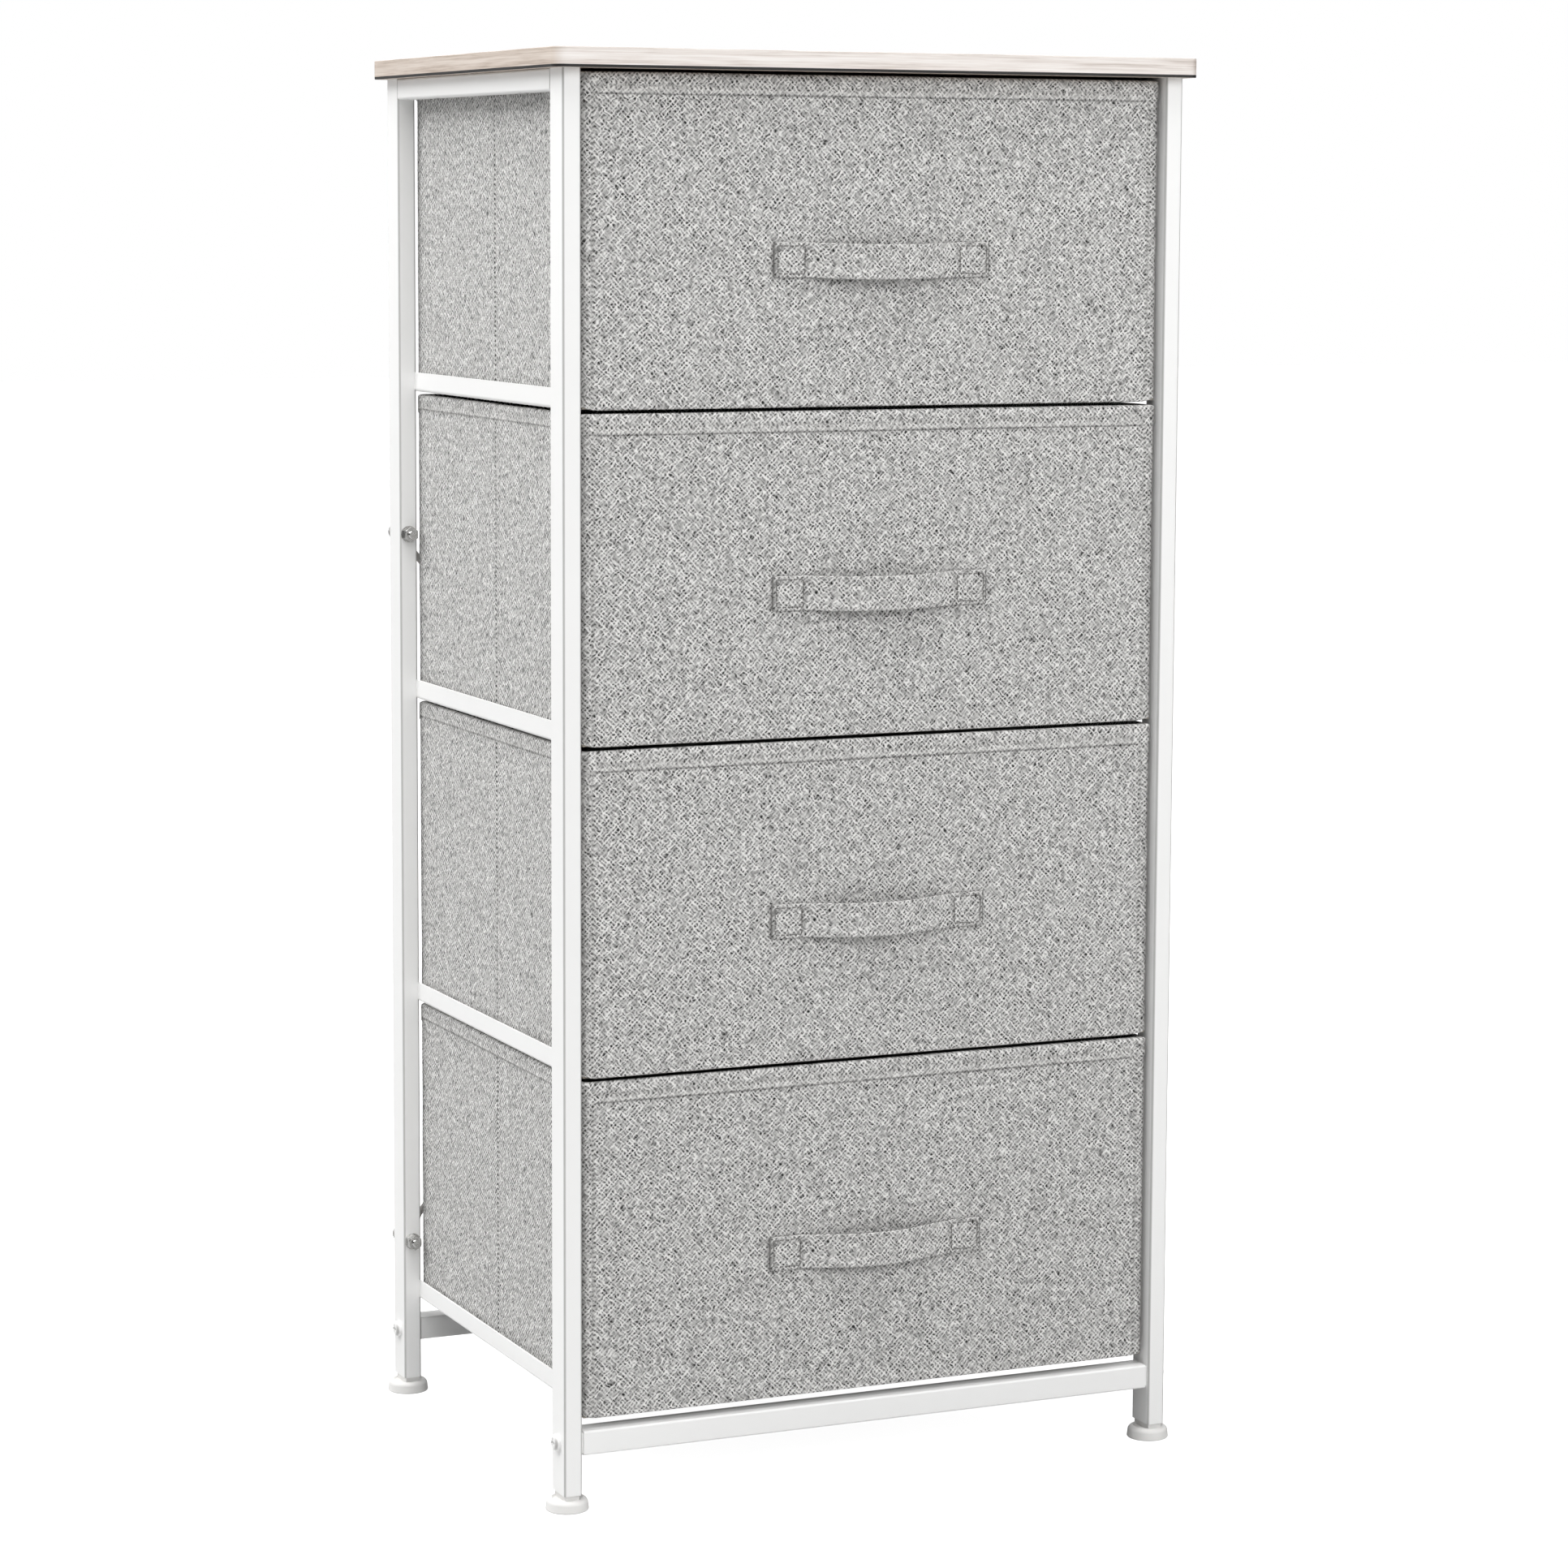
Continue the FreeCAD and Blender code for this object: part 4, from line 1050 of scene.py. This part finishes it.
# %% [markdown]
# ## Base boards
# A loose board lies on the floor of each drawer and keeps it square. It is wrapped in the
# same papery cloth as the lining. It is built as rings of one rounded rectangle: up the edge,
# and then inwards over the top, where the wrap lies a little unevenly.

# %% Wrap the base boards
WRAP_ROUNDING = 0.8 * MM
WRAP_CORNER = 1.5 * MM
WRAP_WAVE = 50.0 * MM
WRAP_LIFT = 0.3 * MM
WRAP_BEVEL_SHARE = 0.3
WRAP_UNDER = 0.004
WRAP_RINGS = (0.006, 0.02, 0.05, 0.09, 0.12)
WRAP_SEED = 11.0


def wrap_rows(low, high):
    """Inset and height of each ring: underside, edge, bevel, and inwards over the top."""
    bevel = WRAP_BEVEL_SHARE * WRAP_ROUNDING
    rows = [(WRAP_UNDER, low), (WRAP_ROUNDING, low), (0.0, low + WRAP_ROUNDING)]
    rows += [(0.0, high - WRAP_ROUNDING), (bevel, high - bevel), (WRAP_ROUNDING, high)]
    return rows + [(inset, high) for inset in WRAP_RINGS]


def base_cover(d, seed):
    """The wrapped base board of one drawer."""
    low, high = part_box(d["name"] + "_bottom_board")
    edge = (high.x, low.y, high.y)
    outline = ring(high.x, low.y, high.y, WRAP_CORNER, (), ())
    rows = wrap_rows(low.z, high.z)
    vertices = []
    for inset, z in rows:
        for point, out, wall in outline:
            spot = fit(point, edge, (edge[0] - inset, edge[1] + inset, edge[2] - inset))
            wave = noise.noise(Vector((spot.x / WRAP_WAVE, spot.y / WRAP_WAVE, seed)))
            lift = WRAP_LIFT * abs(wave) if inset in WRAP_RINGS else 0.0
            vertices.append((spot.x, spot.y, z + lift))
    faces = closed_tube(len(rows), len(outline))
    uvs = [vertices[v][:2] for face in faces for v in face]
    return mesh_piece(d["name"] + "_base_cover", vertices, faces, [lining], uvs)


for number, d in enumerate(drawers, 1):
    cover = base_cover(d, WRAP_SEED * number)
    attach(cover, d["name"])
    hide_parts(d["name"] + "_bottom_board")
    print(cover.name, len(cover.data.vertices), "points")

# %% [markdown]
# ## Strap handles
# Each handle is a doubled strip of the same cloth, sewn flat at both ends and bowed out
# between them. It is a loft: a rounded flat section follows a path that swings out and sags
# a little under its own weight. The section is thicker along its two long edges, where the
# cloth is folded in.

# %% Path of a strap
STRAP_STEP = 2.0 * MM
STRAP_SAG = 1.2 * MM
STRAP_PATCH = 20.0 * MM
STRAP_THICKNESS = 2.5 * MM
STRAP_WAVE = 20.0 * MM
STRAP_LIFT = 0.2 * MM
BOW_POWER = 1.4
SEWN_FLAT = 0.8
LOOSE_EXTRA = 0.2
END_ROUNDING = 1.2 * MM
END_FLAT = 0.25
END_DRAWN_IN = 0.35 * MM
STRAP_SECTION = (
    (-1.0, 0.0), (-0.985, 0.75), (-0.93, 1.0), (-0.8, 0.86), (-0.4, 0.78), (0.0, 0.78),
    (0.4, 0.78), (0.8, 0.86), (0.93, 1.0), (0.985, 0.75), (1.0, 0.0))


def strap_plan(d):
    """Where one strap lies: its middle, its half sizes and how far it bows out."""
    low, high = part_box(d["name"] + "_handle")
    return {
        "centre": (low.x + high.x) / 2,
        "height": (low.z + high.z) / 2,
        "half": (high.x - low.x) / 2,
        "tall": (high.z - low.z) / 2,
        "bow_half": (high.x - low.x) / 2 - STRAP_PATCH,
        "bow": d["front"] - low.y - STRAP_THICKNESS,
    }


def strap_path(plan, x):
    """How far the strap stands out and sags at a place along it."""
    inside = max(0.0, 1 - (x / plan["bow_half"]) ** 2)
    return plan["bow"] * inside ** BOW_POWER, STRAP_SAG * inside


print("bow:", round(strap_plan(top)["bow"] / MM, 1), "mm")

# %% Painted shade of a strap
BOW_END_SHADE = 0.3
END_FOLD_HIGHLIGHT = 0.3
END_HIGHLIGHT_INSET = 1.0 * MM
END_HIGHLIGHT_WIDTH = 0.8 * MM
LONG_EDGE_HIGHLIGHT = 0.12
LONG_EDGE_HIGHLIGHT_MIDDLE = 0.93
LONG_EDGE_HIGHLIGHT_WIDTH = 0.05
BACK_SHADE = 0.7
END_SHADE_FROM = 0.4
FACE_SIDE = 0.5
FACE_UP = 0.95


def strap_shade(plan, x, up, side, end):
    """Painted shade at the back, the edges and where the bow starts, painted highlight where the cloth
    is folded in.
    """
    # Painted shade at the strap's back, long edges and ends; painted highlights on its folds.
    if side < 0 or abs(up) == 1.0 or end < END_SHADE_FROM:
        return BACK_SHADE
    if side <= FACE_SIDE or abs(up) >= FACE_UP:
        return 0.0
    shade = BOW_END_SHADE * groove(abs(x) - plan["bow_half"])
    shade -= END_FOLD_HIGHLIGHT * groove(plan["half"] - abs(x) - END_HIGHLIGHT_INSET, END_HIGHLIGHT_WIDTH)
    return shade - LONG_EDGE_HIGHLIGHT * groove(abs(up) - LONG_EDGE_HIGHLIGHT_MIDDLE, LONG_EDGE_HIGHLIGHT_WIDTH)


plan = strap_plan(top)
print("shade where the bow starts:", round(strap_shade(plan, plan["bow_half"], 0, 1, 1), 2))

# %% Loft a strap
STRAP_SEED = 3.0


def strap_point(d, plan, x, up, side, seed):
    """One point of the strap and its painted shade."""
    out, sag = strap_path(plan, x)
    loose = 1.0 if abs(x) < plan["bow_half"] else 0.0
    end = min(1.0, (plan["half"] - abs(x)) / END_ROUNDING)
    round_end = END_FLAT + (1 - END_FLAT) * math.sqrt(max(0.0, 1 - (1 - end) ** 2))
    wave = STRAP_LIFT * noise.noise(Vector((x / STRAP_WAVE, up, seed))) * loose
    flat = STRAP_THICKNESS / 2 * (SEWN_FLAT + LOOSE_EXTRA * loose) * round_end
    y = d["front"] - STRAP_THICKNESS / 2 - out - side * flat + wave
    z = plan["height"] - sag + up * (plan["tall"] - END_DRAWN_IN * (1 - round_end)) + wave
    return (plan["centre"] + x, y, z), strap_shade(plan, x, up, side, end)


def strap_girth(plan, section):
    """Lengths round the section from its first point, for the UV map."""
    girth = [0.0]
    for near, far in zip(section, section[1:] + section[:1]):
        step = ((far[0] - near[0]) * plan["tall"], (far[1] - near[1]) * STRAP_THICKNESS / 2)
        girth.append(girth[-1] + math.hypot(*step))
    return girth


def strap(d, seed):
    """One strap handle as a closed mesh on the drawer's front."""
    plan = strap_plan(d)
    xs = ticks(-plan["half"], plan["half"], STRAP_STEP, [-plan["bow_half"], plan["bow_half"]])
    section = list(STRAP_SECTION) + [(a, -b) for a, b in reversed(STRAP_SECTION[1:-1])]
    points = [strap_point(d, plan, x, up, side, seed) for x in xs for up, side in section]
    vertices = [point[0] for point in points]
    faces = closed_tube(len(xs), len(section))
    girth = strap_girth(plan, section)
    uvs = []
    for x, next_x in zip(xs, xs[1:]):
        for low, high in zip(girth, girth[1:]):
            uvs += [(x, low), (x, high), (next_x, high), (next_x, low)]
    uvs += [vertices[vertex][1:] for face in faces[-2:] for vertex in face]
    marks = {PAINTED_SHADE_MARK: [point[1] for point in points]}
    return mesh_piece(d["name"] + "_strap", vertices, faces, [linen_look], uvs, marks)


for number, d in enumerate(drawers, 1):
    handle = strap(d, STRAP_SEED * number)
    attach(handle, d["name"])
    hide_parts(d["name"] + "_handle")
    print(handle.name, len(handle.data.vertices), "points")

# %% [markdown]
# ## Stitching on the handles
# A box of stitches holds each end of a strap. They are the only stitches that take load, so
# the thread is thick and shows. Each stitch is a short bent rod: it comes up out of the
# strap, lies on it and dives again.

# %% Sew the handles on
THREAD_RADIUS = 0.35 * MM
STITCH_GAP = 3.3 * MM
STITCH_FILL = 0.68
STITCH_SEAT = 0.9
BOX_INSET = 2.2 * MM
THREAD_SIDES = 6
STITCH_ARCH = ((-1.0, -0.5), (-0.75, 0.35), (0.0, 0.6), (0.75, 0.35), (1.0, -0.5))


def stitch_box(plan, side):
    """Middle and direction of every stitch in one box, seen from the front."""
    near, far = plan["bow_half"] + BOX_INSET / 2, plan["half"] - BOX_INSET
    tall = plan["tall"] - BOX_INSET
    spots = []
    for x in (near, far):
        count = round(2 * tall / STITCH_GAP)
        spots += [(side * x, -tall + 2 * tall * (i + 0.5) / count, 0.0, 1.0)
                  for i in range(count)]
    for up in (-tall, tall):
        count = round((far - near) / STITCH_GAP)
        spots += [(side * (near + (far - near) * (i + 0.5) / count), up, 1.0, 0.0)
                  for i in range(count)]
    return spots


def stitch_points(plan, surface, stitch):
    """Rings of points along one stitch, an arch of thread on the strap."""
    x, up, across, rise = stitch
    points = []
    for along, height in STITCH_ARCH:
        reach = along * STITCH_GAP * STITCH_FILL / 2
        for k in range(THREAD_SIDES):
            angle = 2 * math.pi * k / THREAD_SIDES
            wide = THREAD_RADIUS * math.cos(angle)
            points.append((
                plan["centre"] + x + across * reach + rise * wide,
                surface - THREAD_RADIUS * (height + math.sin(angle)),
                plan["height"] + up + rise * reach + across * wide))
    return points


def stitching(d):
    """All the thread that shows on one handle."""
    plan = strap_plan(d)
    surface = d["front"] - STRAP_THICKNESS * STITCH_SEAT
    vertices, faces = [], []
    for stitch in stitch_box(plan, -1) + stitch_box(plan, 1):
        faces += closed_tube(len(STITCH_ARCH), THREAD_SIDES, len(vertices))
        vertices += stitch_points(plan, surface, stitch)
    uvs = [(vertices[v][0], vertices[v][2]) for face in faces for v in face]
    return mesh_piece(d["name"] + "_stitching", vertices, faces, [thread], uvs)


for d in drawers:
    sewing = stitching(d)
    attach(sewing, d["name"])
    print(sewing.name, len(sewing.data.vertices), "points")

# %% [markdown]
# ## The frame's size
# The looks must not change the object's size. The frame's box, taken before any dressing, is
# printed.

# %% Print the frame's box
print("frame:", cad_box)
